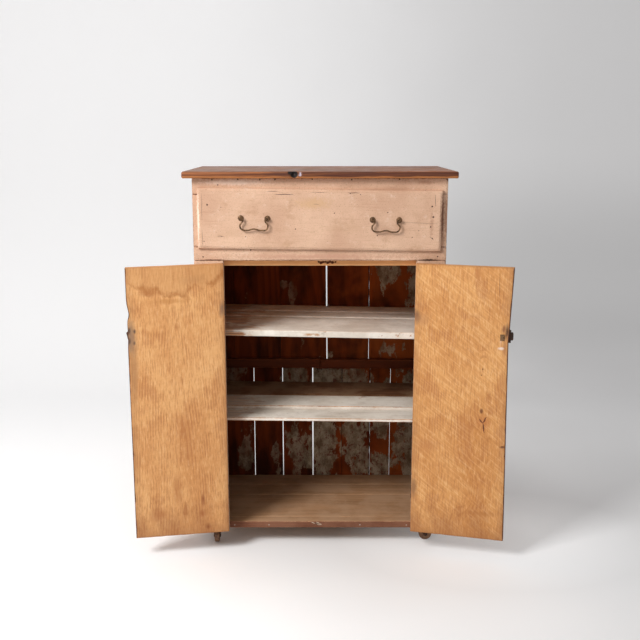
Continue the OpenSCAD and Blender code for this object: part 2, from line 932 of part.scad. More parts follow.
// Keeper on the left door: a plate with a sloping lip past the door's edge, and a bridge
// that the bolt slides under
module catch_keeper() {
    edge = -1;
    foot_in = bolt_h / 2 + 0.6;
    foot_out = 19;
    bridge_near = bolt_far + bridge_gap;
    bridge_t = 2;
    bridge_x = -16;
    bridge_w = 10;
    color(dark_iron)
        on_door_face(-1) {
            linear_extrude(keeper_t)
                polygon([
                    [-24, -foot_out], [edge - 1, -foot_out], [edge - 1, -16], [edge, -14],
                    [edge + 4, 5], [edge + 3, 9], [edge - 1, 11], [edge - 1, foot_out],
                    [-24, foot_out]
                ]);
            for (side = [-1, 1])
                translate([bridge_x, side > 0 ? foot_in : -foot_out, 0])
                    cube([bridge_w, foot_out - foot_in, bridge_near + bridge_t]);
            translate([bridge_x, -foot_out, bridge_near])
                cube([bridge_w, 2 * foot_out, bridge_t]);
        }
}

// ---------------------------------------------------------------- casters

function corner_x(i) = caster_x[i % 2];
function corner_y(i) = front_y + caster_y[floor(i / 2)];

// Plates screwed under the floor, each with the king pin that its horn turns on
module caster_plates() {
    head_z = crown_top - crown_t - crown_gap;
    side = caster_plate_side;
    color(dark_iron)
        for (i = [0 : 3])
            translate([corner_x(i), corner_y(i), 0]) {
                translate([-side / 2, -side / 2, plate_z - caster_plate_t])
                    cube([side, side, caster_plate_t]);
                translate([0, 0, head_z])
                    cylinder(h = plate_z - head_z - 1, r = king_r);
                translate([0, 0, head_z])
                    mirror([0, 0, 1])
                        rotate_extrude()
                            polygon([[0, 0], [7, 0], [6.4, 1.4], [4, 2.4], [0, 2.8]]);
            }
}

// Frame of one caster: the wheel trails along +X from the swivel
module at_caster(i) {
    translate([corner_x(i), corner_y(i), 0])
        rotate([0, 0, caster_turn[i] - 90])
            children();
}

// Swivelling horn: crown, two swept cheeks and the riveted axle
module caster_horn(i) {
    cheek_y = wheel_w / 2 + cheek_gap;
    crown_z = crown_top - crown_t;
    boss = 6;
    color(dark_iron)
        at_caster(i) {
            difference() {
                union() {
                    translate([0, 0, crown_z])
                        cylinder(h = crown_t, r = crown_r);
                    translate([0, -cheek_y - cheek_t, crown_z])
                        cube([crown_r, 2 * (cheek_y + cheek_t), crown_t]);
                }
                translate([0, 0, crown_z - 1])
                    cylinder(h = crown_t + 2, r = king_bore_r);
            }
            for (side = [-1, 1])
                translate([0, side > 0 ? cheek_y + cheek_t : -cheek_y, 0])
                    rotate([90, 0, 0]) {
                        linear_extrude(cheek_t)
                            polygon(concat(
                                [[crown_r, crown_top], [-6, crown_top], [-5, crown_z - 3]],
                                round_off(caster_trail, wheel_z, boss, 190, 350, 6),
                                [[crown_r + 4, crown_z - 6]]
                            ));
                        translate([caster_trail, wheel_z, 0])
                            cylinder(h = cheek_t, r = boss);
                    }
            translate([caster_trail, cheek_y + cheek_t + 1, wheel_z])
                rotate([90, 0, 0])
                    cylinder(h = 2 * (cheek_y + cheek_t + 1), r = axle_r);
        }
}

// Turned wooden wheel with an eased tread and a raised hub
module caster_wheel(i) {
    r = wheel_d / 2;
    w = wheel_w / 2;
    color(wheel_wood)
        at_caster(i)
            translate([caster_trail, 0, wheel_z])
                rotate([90, 0, 0])
                    rotate_extrude()
                        polygon([
                            [axle_bore_r, -w - 0.3], [7, -w - 0.3], [8, -w + 1], [r - 4, -w + 1],
                            [r - 3, -w], [r - 1.6, -w], [r - 0.5, -w + 1.2], [r, -w + 3],
                            [r, w - 3], [r - 0.5, w - 1.2], [r - 1.6, w], [r - 3, w],
                            [r - 4, w - 1], [8, w - 1], [7, w + 0.3], [axle_bore_r, w + 0.3]
                        ]);
}

module caster_horn_front_left() caster_horn(0);
module caster_horn_front_right() caster_horn(1);
module caster_horn_back_left() caster_horn(2);
module caster_horn_back_right() caster_horn(3);
module caster_wheel_front_left() caster_wheel(0);
module caster_wheel_front_right() caster_wheel(1);
module caster_wheel_back_left() caster_wheel(2);
module caster_wheel_back_right() caster_wheel(3);

// ---------------------------------------------------------------- drawing

top_board();
side_left();
side_right();
top_rail();
drawer_rail();
drawer_stiles();
stile_left();
stile_right();
dust_board();
drawer_runner_left();
drawer_runner_right();
upper_shelf_front();
upper_shelf_middle();
upper_shelf_back();
lower_shelf_front();
lower_shelf_middle();
lower_shelf_back();
floor_front_strip();
floor_front_board();
floor_middle_board();
floor_back_board();
shelf_cleats();
back_boards_upper();
back_boards_lower();
back_batten_left();
back_batten_right();
back_rail_top();
caster_plates();
frame_hinge_leaves();
hinge_pins();
drawer_front();
drawer_side_left();
drawer_side_right();
drawer_back();
drawer_bottom();
pull_posts();
pull_nuts();
bail_left();
bail_right();
door_left_board();
door_left_leaves();
catch_keeper();
door_right_board();
door_right_leaves();
catch_plate();
catch_case();
catch_knob();
catch_bolt();
caster_horn_front_left();
caster_wheel_front_left();
caster_horn_front_right();
caster_wheel_front_right();
caster_horn_back_left();
caster_wheel_back_left();
caster_horn_back_right();
caster_wheel_back_right();
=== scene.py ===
"""Looks of a country baker's cabinet.

Painted case and drawer, stained worktop, amber plank doors standing open, worn shelves and
dark fittings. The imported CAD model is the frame: each wooden board is made again from its
CAD solid with rounded, worn arrises, and the metal fittings get smoother skins.
"""

import json
import logging
import math
from collections.abc import Callable, Iterable, Sequence
from dataclasses import dataclass, field
from enum import Enum

import bmesh
import bpy
from mathutils import Matrix, Vector, noise


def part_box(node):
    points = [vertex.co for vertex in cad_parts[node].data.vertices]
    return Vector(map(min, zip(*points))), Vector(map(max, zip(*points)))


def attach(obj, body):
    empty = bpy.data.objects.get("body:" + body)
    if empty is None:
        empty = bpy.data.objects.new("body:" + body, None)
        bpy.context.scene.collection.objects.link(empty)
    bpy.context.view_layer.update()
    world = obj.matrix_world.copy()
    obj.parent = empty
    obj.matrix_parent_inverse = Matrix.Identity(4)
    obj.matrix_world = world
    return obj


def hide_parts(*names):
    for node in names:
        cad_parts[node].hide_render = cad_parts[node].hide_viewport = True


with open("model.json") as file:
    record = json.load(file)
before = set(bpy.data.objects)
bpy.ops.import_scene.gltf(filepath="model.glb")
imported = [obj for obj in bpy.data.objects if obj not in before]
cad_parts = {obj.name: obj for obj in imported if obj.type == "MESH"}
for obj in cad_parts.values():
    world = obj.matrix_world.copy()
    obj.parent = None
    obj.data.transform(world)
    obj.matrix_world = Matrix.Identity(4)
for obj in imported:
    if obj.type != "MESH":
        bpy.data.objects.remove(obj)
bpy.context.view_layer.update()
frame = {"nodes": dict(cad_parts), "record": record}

log = logging.getLogger("cabinet")

MM = 0.001
FRONT = Vector((0, -1, 0))
BACK = Vector((0, 1, 0))
AXES = (Vector((1, 0, 0)), BACK, Vector((0, 0, 1)))
Socket = bpy.types.NodeSocket
Cuts = tuple[Sequence[float], Sequence[float], Sequence[float]]

# Vertices closer than this count as one
CLOSE = 0.01 * MM

# Waves per metre of the noises that roughen arrises, knock them and hollow faces
ROUGH_WAVES = 45
KNOCK_WAVES = 130
HOLLOW_WAVES = 9

# Settings that many shader nodes share
COLOUR = {"data_type": "RGBA"}
SMOOTH = {"interpolation_type": "SMOOTHSTEP"}
TIMES = {"operation": "MULTIPLY"}
MINUS = {"operation": "SUBTRACT"}
PLACE = {"out": "Object"}
PLANK = {"attribute_name": "plank", "out": "Vector"}
WEAR = {"attribute_name": "wear", "out": "Fac"}
STAIN = {"attribute_name": "stain", "out": "Fac"}

# The photograph's own viewpoint: height, distance, tilt and field of view
CAMERA_AT = (0.0, -2.734, 1.251)
CAMERA_DOWN = math.radians(11.7)
CAMERA_LENS = 50.34
CAMERA_SENSOR = 36

# The soft window light that comes over the left shoulder
KEY_AIM = Vector((0, 0, 0.6))
KEY_TURN = math.radians(44)
KEY_RISE = math.radians(34)
KEY_FAR = 3.6
KEY_SIZE = 1.1
KEY_POWER = 104

# The world: its colour, and its strength as light from each side and as background
FILL_COLOUR = "#f7f5f5"
FILL_LEFT = 0.66
FILL_RIGHT = 0.34
SEEN = 0.9


class Look(Enum):
    """Finishes: first those named after a slot of the record, then those of single pieces."""

    PINK_PAINT = "pink_paint"
    STAINED_PINE = "stained_pine"
    BARE_PINE = "bare_pine"
    SHELF_PAINT = "shelf_paint"
    OLD_BROWN = "old_brown"
    BACK_BROWN = "back_brown"
    DARK_IRON = "dark_iron"
    AGED_BRASS = "aged_brass"
    WHEEL_WOOD = "wheel_wood"
    LEFT_DOOR = "left_door"
    RIGHT_DOOR = "right_door"
    DOOR_EDGE = "door_edge"
    DUST_EDGE = "dust_edge"
    FLOOR = "floor"
    FLOOR_EDGE = "floor_edge"
    BARE_SHELF = "bare_shelf"
    INNER_SIDE = "inner_side"
    RED_BATTEN = "red_batten"
    WEATHERED = "weathered"
    JOINT_DIRT = "joint_dirt"
    SPLIT_AND_STEP_SHADOW = "hole"
    RESIN_CRACK = "resin_crack"
    NAIL = "nail"
    BRIGHT_NAIL = "bright_nail"
    SCRAPE = "scrape"
    PAPER = "paper"


def linear(colour: str) -> tuple[float, float, float, float]:
    """Turns an sRGB colour into the linear one that shaders use.

    Args:
        colour: Six hex digits, such as "#dcb397".

    Returns:
        Linear red, green, blue and an alpha of 1.
    """
    parts = [int(colour[i : i + 2], 16) / 255 for i in (1, 3, 5)]
    return (*(c / 12.92 if c <= 0.04045 else ((c + 0.055) / 1.055) ** 2.4 for c in parts), 1.0)


class Graph:
    """Node tree of one material."""

    def __init__(self, name: str) -> None:
        """Starts an empty tree.

        Args:
            name: Name of the material, after its real finish.
        """
        self.material = bpy.data.materials.new(name)
        self.material.use_nodes = True
        self.tree = self.material.node_tree
        self.tree.nodes.clear()

    @classmethod
    def of(cls, tree: bpy.types.NodeTree) -> "Graph":
        """Goes on with another tree, such as the world's.

        Args:
            tree: The tree.

        Returns:
            A graph that adds to it.
        """
        graph = cls.__new__(cls)
        graph.tree = tree
        return graph

    def add(
        self, kind: str, inputs: dict | Sequence = (), out: int | str = 0, **settings
    ) -> Socket | None:
        """Adds one node with its settings and links.

        Args:
            kind: Blender's name of the node, without its first part, ShaderNode.
            inputs: Its inputs in order, or by name or number. A socket is linked, a hex
                colour is made linear, and None leaves an input as it is.
            out: The output to return.
            **settings: Properties of the node.

        Returns:
            One of the node's outputs, if it has any.
        """
        node = self.tree.nodes.new("ShaderNode" + kind)
        for key, value in settings.items():
            setattr(node, key, value)
        for key, value in inputs.items() if isinstance(inputs, dict) else enumerate(inputs):
            if isinstance(value, bpy.types.NodeSocket):
                self.tree.links.new(value, node.inputs[key])
            elif value is not None:
                value = linear(value) if isinstance(value, str) else value
                node.inputs[key].default_value = value
        return node.outputs[out] if node.outputs else None

    def pattern(
        self,
        place: Socket,
        size: Sequence[float],
        detail: float = 4.0,
        rough: float = 0.55,
        out: int = 0,
    ) -> Socket:
        """Draws a fractal pattern of a real size.

        Args:
            place: Place on the object or in the board, in metres.
            size: Size of its largest features along each axis, in millimetres.
            detail: Number of finer layers.
            rough: Strength of the finer layers.
            out: 0 for a number, 1 for a colour.

        Returns:
            The pattern, mostly between 0.3 and 0.7.
        """
        scaled = self.add("VectorMath", [place, [1 / (s * MM) for s in size]], **TIMES)
        inputs = {"Vector": scaled, "Scale": 1.0, "Detail": detail, "Roughness": rough}
        return self.add("TexNoise", inputs, out)

    def coat(
        self,
        under: Socket | str,
        over: Socket | str,
        where: Socket,
        low: float,
        high: float,
        most: float = 1.0,
    ) -> Socket:
        """Lays one colour over another where a pattern is high.

        Args:
            under: The colour below.
            over: The colour on top.
            where: The pattern.
            low: Pattern value up to which nothing is laid.
            high: Pattern value from which the coat is full.
            most: Strength of the full coat.

        Returns:
            The joint colour.
        """
        share = self.add("MapRange", [where, low, high, 0.0, most], **SMOOTH)
        return self.add("Mix", {0: share, 6: under, 7: over}, 2, **COLOUR)

    def distance(self, place: Socket, middle: Sequence[float], reach: Sequence[float]) -> Socket:
        """Measures how far a place is from a middle.

        Args:
            place: The place, in metres.
            middle: The middle, in metres.
            reach: Length of the unit along each axis, or 0 to leave the axis out.

        Returns:
            The distance, in units of the reach.
        """
        away = self.add("VectorMath", [place, tuple(middle)], **MINUS)
        away = self.add("VectorMath", [away, [1 / r if r else 0.0 for r in reach]], **TIMES)
        return self.add("VectorMath", [away], "Value", operation="LENGTH")

    def near(self, place: Socket, blot: "Blot", ragged: Socket, fray: float = 2.0) -> Socket:
        """Measures how far a place is from a blot, with a frayed outline.

        Args:
            place: Place on the object or in the board, in metres.
            blot: The blot.
            ragged: Pattern that frays its outline.
            fray: How deeply it frays it.

        Returns:
            0 in the middle of the blot and 1 on its outline, give or take the fraying.
        """
        reach = (blot.reach[0], 0, blot.reach[1])
        away = self.distance(place, (blot.across, 0, blot.along), reach)
        off = self.add("Math", [ragged, 0.5], **MINUS)
        return self.add("Math", [self.add("Math", [off, fray], **TIMES), away])

    def blots(
        self, under: Socket | str, place: Socket, blots: Iterable["Blot"], ragged: Socket
    ) -> Socket:
        """Lays blots over a colour.

        Args:
            under: The colour below.
            place: Place on the object or in the board, in metres.
            blots: The blots.
            ragged: Pattern that frays their outlines.

        Returns:
            The joint colour.
        """
        for blot in blots:
            near = self.near(place, blot, ragged)
            under = self.coat(under, blot.colour, near, 0.95, 0.15, blot.most)
        return under

    def seen(self) -> Socket:
        """Sets what the eye sees apart from what only passes light on.

        Returns:
            1 for what the camera sees, also in a mirror or through glass, or else 0.
        """
        rays = [self.add("LightPath", out=f"Is {kind} Ray") for kind in ("Camera", "Glossy")]
        both = self.add("Math", rays, use_clamp=True)
        through = self.add("LightPath", out="Is Transmission Ray")
        return self.add("Math", [both, through], use_clamp=True)

    def surface(
        self,
        colour: Socket | str,
        rough: Socket | float,
        relief: Iterable[tuple[Socket, float]],
        metal: float = 0.0,
        sheen: float = 0.5,
    ) -> bpy.types.Material:
        """Closes the tree with a Principled shader.

        Args:
            colour: Base colour.
            rough: Roughness.
            relief: Height patterns and their depths in millimetres, the finest last.
            metal: Metallic share.
            sheen: Strength of the mirror-like share: 0.5 for a closed skin, less for open
                dusty pores.

        Returns:
            The finished material.
        """
        normal = None
        for height, depth in relief:
            inputs = {"Height": height, "Distance": depth * MM, "Normal": normal}
            normal = self.add("Bump", inputs)
        inputs = {"Base Color": colour, "Roughness": rough, "Metallic": metal, "Normal": normal}
        inputs["Specular IOR Level"] = sheen
        self.add("OutputMaterial", [self.add("BsdfPrincipled", inputs)])
        return self.material


@dataclass(frozen=True)
class Knot:
    """A knot or swirl in a board: its place across and along, its reach and its core."""

    across: float
    along: float
    reach: float
    core: float = 0.0


@dataclass(frozen=True)
class Figure:
    """Growth rings of a board, in its own frame: across, through and along, in metres."""

    pith: tuple[float, float] = (0.02, 0.11)
    pitch: float = 0.0055
    taper: float = 0.02
    wander: float = 0.035
    knots: tuple[Knot, ...] = ()

    def late_wood(self, g: Graph, plank: Socket) -> Socket:
        """Draws the late wood of the rings.

        Args:
            g: Graph to draw in.
            plank: Place in the board.

        Returns:
            1 in the dark late wood and 0 in the pale early wood.
        """
        # The rings sway, over 190 mm across and 600 mm along
        warp = g.pattern(plank, (190, 190, 600), 2, 0.5, out=1)
        warp = g.add("VectorMath", [warp, (0.5, 0.5, 0.5)], **MINUS)
        warp = g.add("VectorMath", [warp, (self.wander,) * 3], **TIMES)
        bent = g.add("VectorMath", [plank, warp])
        rings = g.distance(bent, (*self.pith, 0), (self.pitch, self.pitch, 0))
        along = g.add("SeparateXYZ", [bent], "Z")
        rings = g.add("Math", [rings, g.add("Math", [along, self.taper / self.pitch], **TIMES)])
        # Rings part round each knot, further along the board than across it
        for k in self.knots:
            near = g.distance(plank, (k.across, 0, k.along), (k.reach, 0, 2.2 * k.reach))
            near = g.add("Math", [g.add("Math", [near, near], **TIMES), -1.0], **TIMES)
            near = g.add("Math", [near], operation="EXPONENT")
            near = g.add("Math", [near, 0.9 * k.reach / self.pitch], **TIMES)
            rings = g.add("Math", [rings, near])
        phase = g.add("Math", [rings], operation="FRACT")
        rise = g.add("MapRange", [phase, 0.2, 0.8, 0.0, 1.0], **SMOOTH)
        fall = g.add("MapRange", [phase, 0.85, 1.0, 1.0, 0.0], **SMOOTH)
        return g.add("Math", [rise, fall], **TIMES)


@dataclass(frozen=True)
class Blot:
    """A blot of a colour at a place on a board, across and along, with its reach. Most are stains;
    some are painted highlights and painted shade.
    """

    across: float
    along: float
    reach: tuple[float, float]
    colour: str
    most: float

    @classmethod
    def rows(cls, *rows: tuple[float, float, float, float, str, float]) -> tuple["Blot", ...]:
        """Makes blots from a table.

        Args:
            *rows: For each, its place across and along and its reach across and along, in
                millimetres, then its colour and strength.

        Returns:
            The blots, in metres.
        """
        return tuple(
            cls(x * MM, z * MM, (w * MM, h * MM), colour, most)
            for x, z, w, h, colour, most in rows
        )


@dataclass(frozen=True)
class Finish:
    """A finish, named for the real one."""

    name: str

    def build(self) -> bpy.types.Material:
        """Returns the finished material."""
        raise NotImplementedError


@dataclass(frozen=True)
class MilkPaint(Finish):
    """Pink milk paint brushed on pine: matt and chalky, rubbed through on its arrises."""

    pale: str = "#dfb99c"
    deep: str = "#cba286"
    blots: tuple[Blot, ...] = ()

    def build(self) -> bpy.types.Material:
        """Draws clouds, brush marks, grime, specks, blots, knocks and rubbed arrises; some blots
        are painted highlights and painted shade.

        Returns:
            The finished material.
        """
        g = Graph(self.name)
        place = g.add("TexCoord", **PLACE)
        plank = g.add("Attribute", **PLANK)
        wear = g.add("Attribute", **WEAR)
        wood = g.coat("#a06c48", "#704631", Figure().late_wood(g, plank), 0.2, 0.8)
        cloud = g.pattern(place, (190, 190, 190), 5, 0.6)
        brush = g.pattern(plank, (4, 4, 70), 3, 0.6)
        paint = g.coat(self.pale, self.deep, cloud, 0.36, 0.68)
        paint = g.coat(paint, "#b98c6e", brush, 0.5, 0.78, 0.35)
        paint = g.coat(paint, "#b58a68", g.pattern(place, (70, 70, 50), 6, 0.7), 0.52, 0.76, 0.6)
        chalk = g.pattern(place, (26, 26, 26), 5, 0.7)
        paint = g.coat(paint, "#eacfb9", chalk, 0.55, 0.75, 0.5)
        # Dirt specks of half a millimetre, drawn at 3 mm so that the camera can see them
        speck = g.pattern(place, (3, 3, 3), 2, 0.6)
        paint = g.coat(paint, "#a98367", speck, 0.54, 0.72, 0.65)
        knocks = g.pattern(place, (11, 11, 11), 4, 0.7)
        fine = g.pattern(place, (7, 7, 7), 5, 0.75)
        paint = g.blots(paint, place, self.blots, fine)
        rubbed = g.add("Math", [wear, g.pattern(place, (24, 24, 24), 5, 0.65)], **TIMES)
        colour = g.coat(paint, wood, rubbed, 0.42, 0.54)
        colour = g.coat(colour, "#8a5f48", knocks, 0.68, 0.75, 0.85)
        dirty = g.add("Math", [wear, fine], **TIMES)
        colour = g.coat(colour, "#5a3526", dirty, 0.42, 0.56, 0.85)
        colour = g.coat(colour, "#3a2418", g.add("Attribute", **STAIN), 0.1, 0.8)
        relief = [(cloud, 0.6), (brush, 0.25), (knocks, 0.2), (speck, 0.1)]
        return g.surface(colour, 0.75, relief, sheen=0.35)


@dataclass(frozen=True)
class VarnishedStain(Finish):
    """Red-brown stain under worn varnish: a dull sheen, dark streaks and a paler edge."""

    front: float = 0.0
    blots: tuple[Blot, ...] = ()

    def build(self) -> bpy.types.Material:
        """Draws stained rings, dark streaks, the edge's bare lower band, a painted sheen on the
        upper face and rubbing.

        Returns:
            The finished material.
        """
        g = Graph(self.name)
        place = g.add("TexCoord", **PLACE)
        plank = g.add("Attribute", **PLANK)
        late = Figure(pith=(0.1, 0.2), pitch=0.007, taper=0.01).late_wood(g, plank)
        wood = g.coat("#b06a38", "#80461f", late, 0.1, 0.9)
        streak = g.pattern(plank, (26, 18, 340), 5, 0.65)
        wood = g.coat(wood, "#4a2412", streak, 0.47, 0.66, 0.85)
        wood = g.coat(wood, "#70422a", g.pattern(place, (330, 330, 330), 3), 0.45, 0.7, 0.5)
        along = g.add("SeparateXYZ", [place], "X")
        dark = g.add("Math", [along, g.pattern(plank, (9, 9, 120), 5, 0.65)])
        edge = g.add("SeparateXYZ", [place], "Y")
        edge = g.add("MapRange", [edge, self.front + 4 * MM, self.front + 1 * MM, -1.0, 0.0])
        wood = g.coat(wood, "#4a1f0f", g.add("Math", [dark, edge]), 0.12, 0.62, 0.85)
        ragged = g.add("Math", [g.pattern(plank, (30, 30, 160), 4, 0.6), 0.012], **TIMES)
        lower = g.add("Math", [ragged, g.add("SeparateXYZ", [place], "Z")], **MINUS)
        wood = g.coat(wood, "#c07a40", lower, -1.1315, -1.1285, 0.8)
        # Painted sheen: a grey veil on the upper face alone, more of it to the left, stands for
        # the varnish's reflection of the pale backdrop
        upper = g.add("MapRange", [g.add("SeparateXYZ", [place], "Z"), 1.147, 1.149, 0.0, 1.0])
        painted_sheen = g.add("MapRange", [along, -0.3, 0.35, 0.3, 0.1])
        wood = g.coat(wood, "#9c978e", g.add("Math", [upper, painted_sheen], **TIMES), 0.0, 1.0)
        wood = g.blots(wood, place, self.blots, g.pattern(place, (7, 7, 7), 4, 0.6))
        fibre = g.pattern(plank, (2.5, 2.5, 60), 3, 0.6)
        colour = g.coat(wood, "#351a12", fibre, 0.42, 0.75, 0.45)
        wear = g.add("Attribute", **WEAR)
        rubbed = g.add("Math", [wear, g.pattern(place, (30, 30, 30))], **TIMES)
        colour = g.coat(colour, "#a3653f", rubbed, 0.42, 0.7, 0.5)
        colour = g.coat(colour, "#180b07", g.add("Attribute", **STAIN), 0.1, 0.6)
        sheen = g.pattern(place, (50, 50, 50))
        rough = g.add("MapRange", [sheen, 0.35, 0.7, 0.42, 0.6], **SMOOTH)
        relief = [(g.pattern(place, (110, 110, 110)), 0.7), (fibre, 0.15)]
        return g.surface(colour, rough, relief, sheen=0.38)


@dataclass(frozen=True)
class AmberPine(Finish):
    """Planed pine, never painted: amber with age, with pores, saw marks and water stains."""

    figure: Figure = Figure()
    saw_turn: float = 0.0
    saw_depth: float = 0.25
    ring_depth: float = 0.3
    pale: str = "#dfa76c"
    deep: str = "#cf9258"
    tide: float | None = None
    blots: tuple[Blot, ...] = ()

    def build(self) -> bpy.types.Material:
        """Draws rings, pores, saw marks, a duller rim, a tide mark, blots and knot cores.

        Returns:
            The finished material.
        """
        g = Graph(self.name)
        plank = g.add("Attribute", **PLANK)
        late = self.figure.late_wood(g, plank)
        cloud = g.pattern(plank, (110, 110, 230), 5, 0.62)
        blotch = g.pattern(plank, (42, 42, 80), 6, 0.68)
        wood = g.coat(self.pale, self.deep, cloud, 0.34, 0.68)
        clear = g.add("MapRange", [blotch, 0.4, 0.62, 0.15, 1.0], **SMOOTH)
        shown = g.add("Math", [late, clear], **TIMES)
        wood = g.coat(wood, "#a8642f", shown, 0.1, 1.0, self.ring_depth)
        turned = g.add("Mapping", {"Vector": plank, "Rotation": (0, self.saw_turn, 0)})
        saw = g.pattern(turned, (4.5, 4.5, 60), 1.5, 0.5)
        wood = g.coat(wood, "#b27140", saw, 0.5, 0.66, self.saw_depth)
        wood = g.coat(wood, "#f0c48e", saw, 0.47, 0.33, self.saw_depth)
        pores = g.pattern(plank, (3.2, 3.2, 22), 3, 0.65)
        wood = g.coat(wood, "#a5683a", pores, 0.5, 0.7, 0.5)
        wood = g.coat(wood, "#f0c693", pores, 0.48, 0.3, 0.35)
        wood = g.coat(wood, "#b87a48", blotch, 0.52, 0.66, 0.4)
        rim = g.distance(plank, (0, 0, 0), (0.135, 0, 0))
        rim = g.add("Math", [rim, g.add("Math", [blotch, 0.5], **TIMES)])
        wood = g.coat(wood, "#a8754a", rim, 1.02, 1.35, 0.45)
        along = g.add("SeparateXYZ", [plank], "Z")
        foot = g.add("Math", [g.add("Math", [blotch, 0.3], **TIMES), along], **MINUS)
        wood = g.coat(wood, "#a0673c", foot, 0.44, 0.56, 0.55)
        if self.tide is not None:
            wood = self._tide_mark(g, wood, plank, blotch)
        wood = g.blots(wood, plank, self.blots, blotch)
        for k in self.figure.knots:
            if k.core:
                near = g.distance(plank, (k.across, 0, k.along), (k.core, 0, 1.4 * k.core))
                wood = g.coat(wood, "#6b3a1e", near, 1.2, 0.4, 0.85)
        colour = g.coat(wood, "#8f5c34", g.add("Attribute", **WEAR), 0.4, 1.0, 0.35)
        ragged = g.add("Math", [blotch, 0.6], **TIMES)
        ragged = g.add("Math", [g.add("Attribute", **STAIN), ragged])
        colour = g.coat(colour, "#4a2a1a", ragged, 0.62, 0.95, 0.9)
        return g.surface(colour, 0.62, [(saw, 0.3), (pores, 0.2), (late, 0.06)], sheen=0.35)

    def _tide_mark(self, g: Graph, wood: Socket, plank: Socket, ragged: Socket) -> Socket:
        """Draws the brown line of a dried water stain, which sags in the middle.

        Args:
            g: Graph to draw in.
            wood: Colour of the wood.
            plank: Place in the board.
            ragged: Pattern that frays the line.

        Returns:
            The colour with the stain.
        """
        # The line stands 24 mm higher 100 mm from the middle, and grows with the square
        rise = 2.4
        part = g.add("SeparateXYZ", [plank], "X")
        sag = g.add("Math", [g.add("Math", [part, part], **TIMES), rise], **TIMES)
        level = g.add("Math", [sag, g.add("Math", [ragged, 0.11], **TIMES)])
        above = g.add("Math", [g.add("SeparateXYZ", [plank], "Z"), level], **MINUS)
        above = g.add("Math", [above, self.tide], **MINUS)
        line = g.add("Math", [above], operation="ABSOLUTE")
        faded = g.add("MapRange", [g.pattern(plank, (60, 60, 60)), 0.4, 0.6, 0.013, 0.0], **SMOOTH)
        wood = g.coat(wood, "#a5652f", g.add("Math", [line, faded]), 0.022, 0.001, 0.75)
        return g.coat(wood, "#bd8653", above, -0.004, 0.01, 0.4)


@dataclass(frozen=True)
class ThinPaint(Finish):
    """Thin off-white oil paint on pine: dirty, scuffed, and rubbed off where hands reach."""

    arris_bare: float = 0.3
    left_bare: float = 0.7
    blots: tuple[Blot, ...] = ()

    def build(self) -> bpy.types.Material:
        """Draws bare wood, streaky paint, dirt and the worn arrises.

        Returns:
            The finished material.
        """
        g = Graph(self.name)
        place = g.add("TexCoord", **PLACE)
        plank = g.add("Attribute", **PLANK)
        late = Figure(pith=(0.03, 0.15)).late_wood(g, plank)
        wood = g.coat("#c58a55", "#8f5936", late, 0.1, 0.9)
        cloud = g.pattern(place, (120, 120, 120), 5, 0.65)
        paint = g.coat("#f3ebdf", "#d8ccbd", cloud, 0.36, 0.68)
        streak = g.pattern(plank, (15, 15, 190), 4, 0.62)
        paint = g.coat(paint, "#b3a08c", streak, 0.52, 0.74, 0.4)
        dirt = g.pattern(place, (16, 16, 16), 5, 0.7)
        paint = g.coat(paint, "#8a735f", dirt, 0.57, 0.75, 0.4)
        flakes = g.pattern(place, (75, 40, 40), 6, 0.68)
        paint = g.blots(paint, place, self.blots, dirt)
        colour = g.coat(paint, wood, flakes, 0.66, 0.7, 0.85)
        edge = g.add("Math", [g.add("Attribute", **WEAR), dirt])
        colour = g.coat(colour, wood, edge, 1.0, 1.25, self.arris_bare)
        left = g.add("SeparateXYZ", [place], "X")
        left = g.add("Math", [g.add("Math", [flakes, 0.5], **TIMES), left], **MINUS)
        colour = g.coat(colour, wood, left, 0.44, 0.52, self.left_bare)
        colour = g.coat(colour, "#4a3122", g.add("Attribute", **STAIN), 0.1, 0.8)
        return g.surface(colour, 0.62, [(flakes, 0.3), (streak, 0.2)], sheen=0.4)


@dataclass(frozen=True)
class DarkStain(Finish):
    """Dark oil stain on old boards: brown, dusty, and rubbed pale on the arrises."""

    light: str = "#80573c"
    dark: str = "#57361f"
    rub: str = "#b98a63"
    dust: str = "#a08063"

    def build(self) -> bpy.types.Material:
        """Draws dark rings, fibres, dust and rubbed arrises.

        Returns:
            The finished material.
        """
        g = Graph(self.name)
        place = g.add("TexCoord", **PLACE)
        plank = g.add("Attribute", **PLANK)
        late = Figure(pith=(-0.03, 0.12), pitch=0.008).late_wood(g, plank)
        cloud = g.pattern(plank, (60, 60, 240), 5, 0.65)
        wood = g.coat(self.light, self.dark, late, 0.0, 1.0, 0.3)
        wood = g.coat(wood, self.dark, cloud, 0.42, 0.72, 0.5)
        fibre = g.pattern(plank, (2.6, 2.6, 50), 3, 0.6)
        wood = g.coat(wood, self.dark, fibre, 0.47, 0.77, 0.3)
        grey = g.pattern(place, (90, 90, 90), 6, 0.66)
        wood = g.coat(wood, self.dust, grey, 0.38, 0.62, 0.65)
        ragged = g.pattern(place, (28, 28, 28), 5, 0.7)
        rubbed = g.add("Math", [g.add("Attribute", **WEAR), ragged], **TIMES)
        colour = g.coat(wood, self.rub, rubbed, 0.36, 0.56, 0.9)
        frayed = g.add("Math", [g.add("Attribute", **STAIN), g.pattern(place, (5, 5, 5), 4, 0.7)])
        colour = g.coat(colour, "#4a1f12", frayed, 0.68, 0.95, 0.95)
        return g.surface(colour, 0.78, [(cloud, 0.4), (fibre, 0.2)], sheen=0.2)


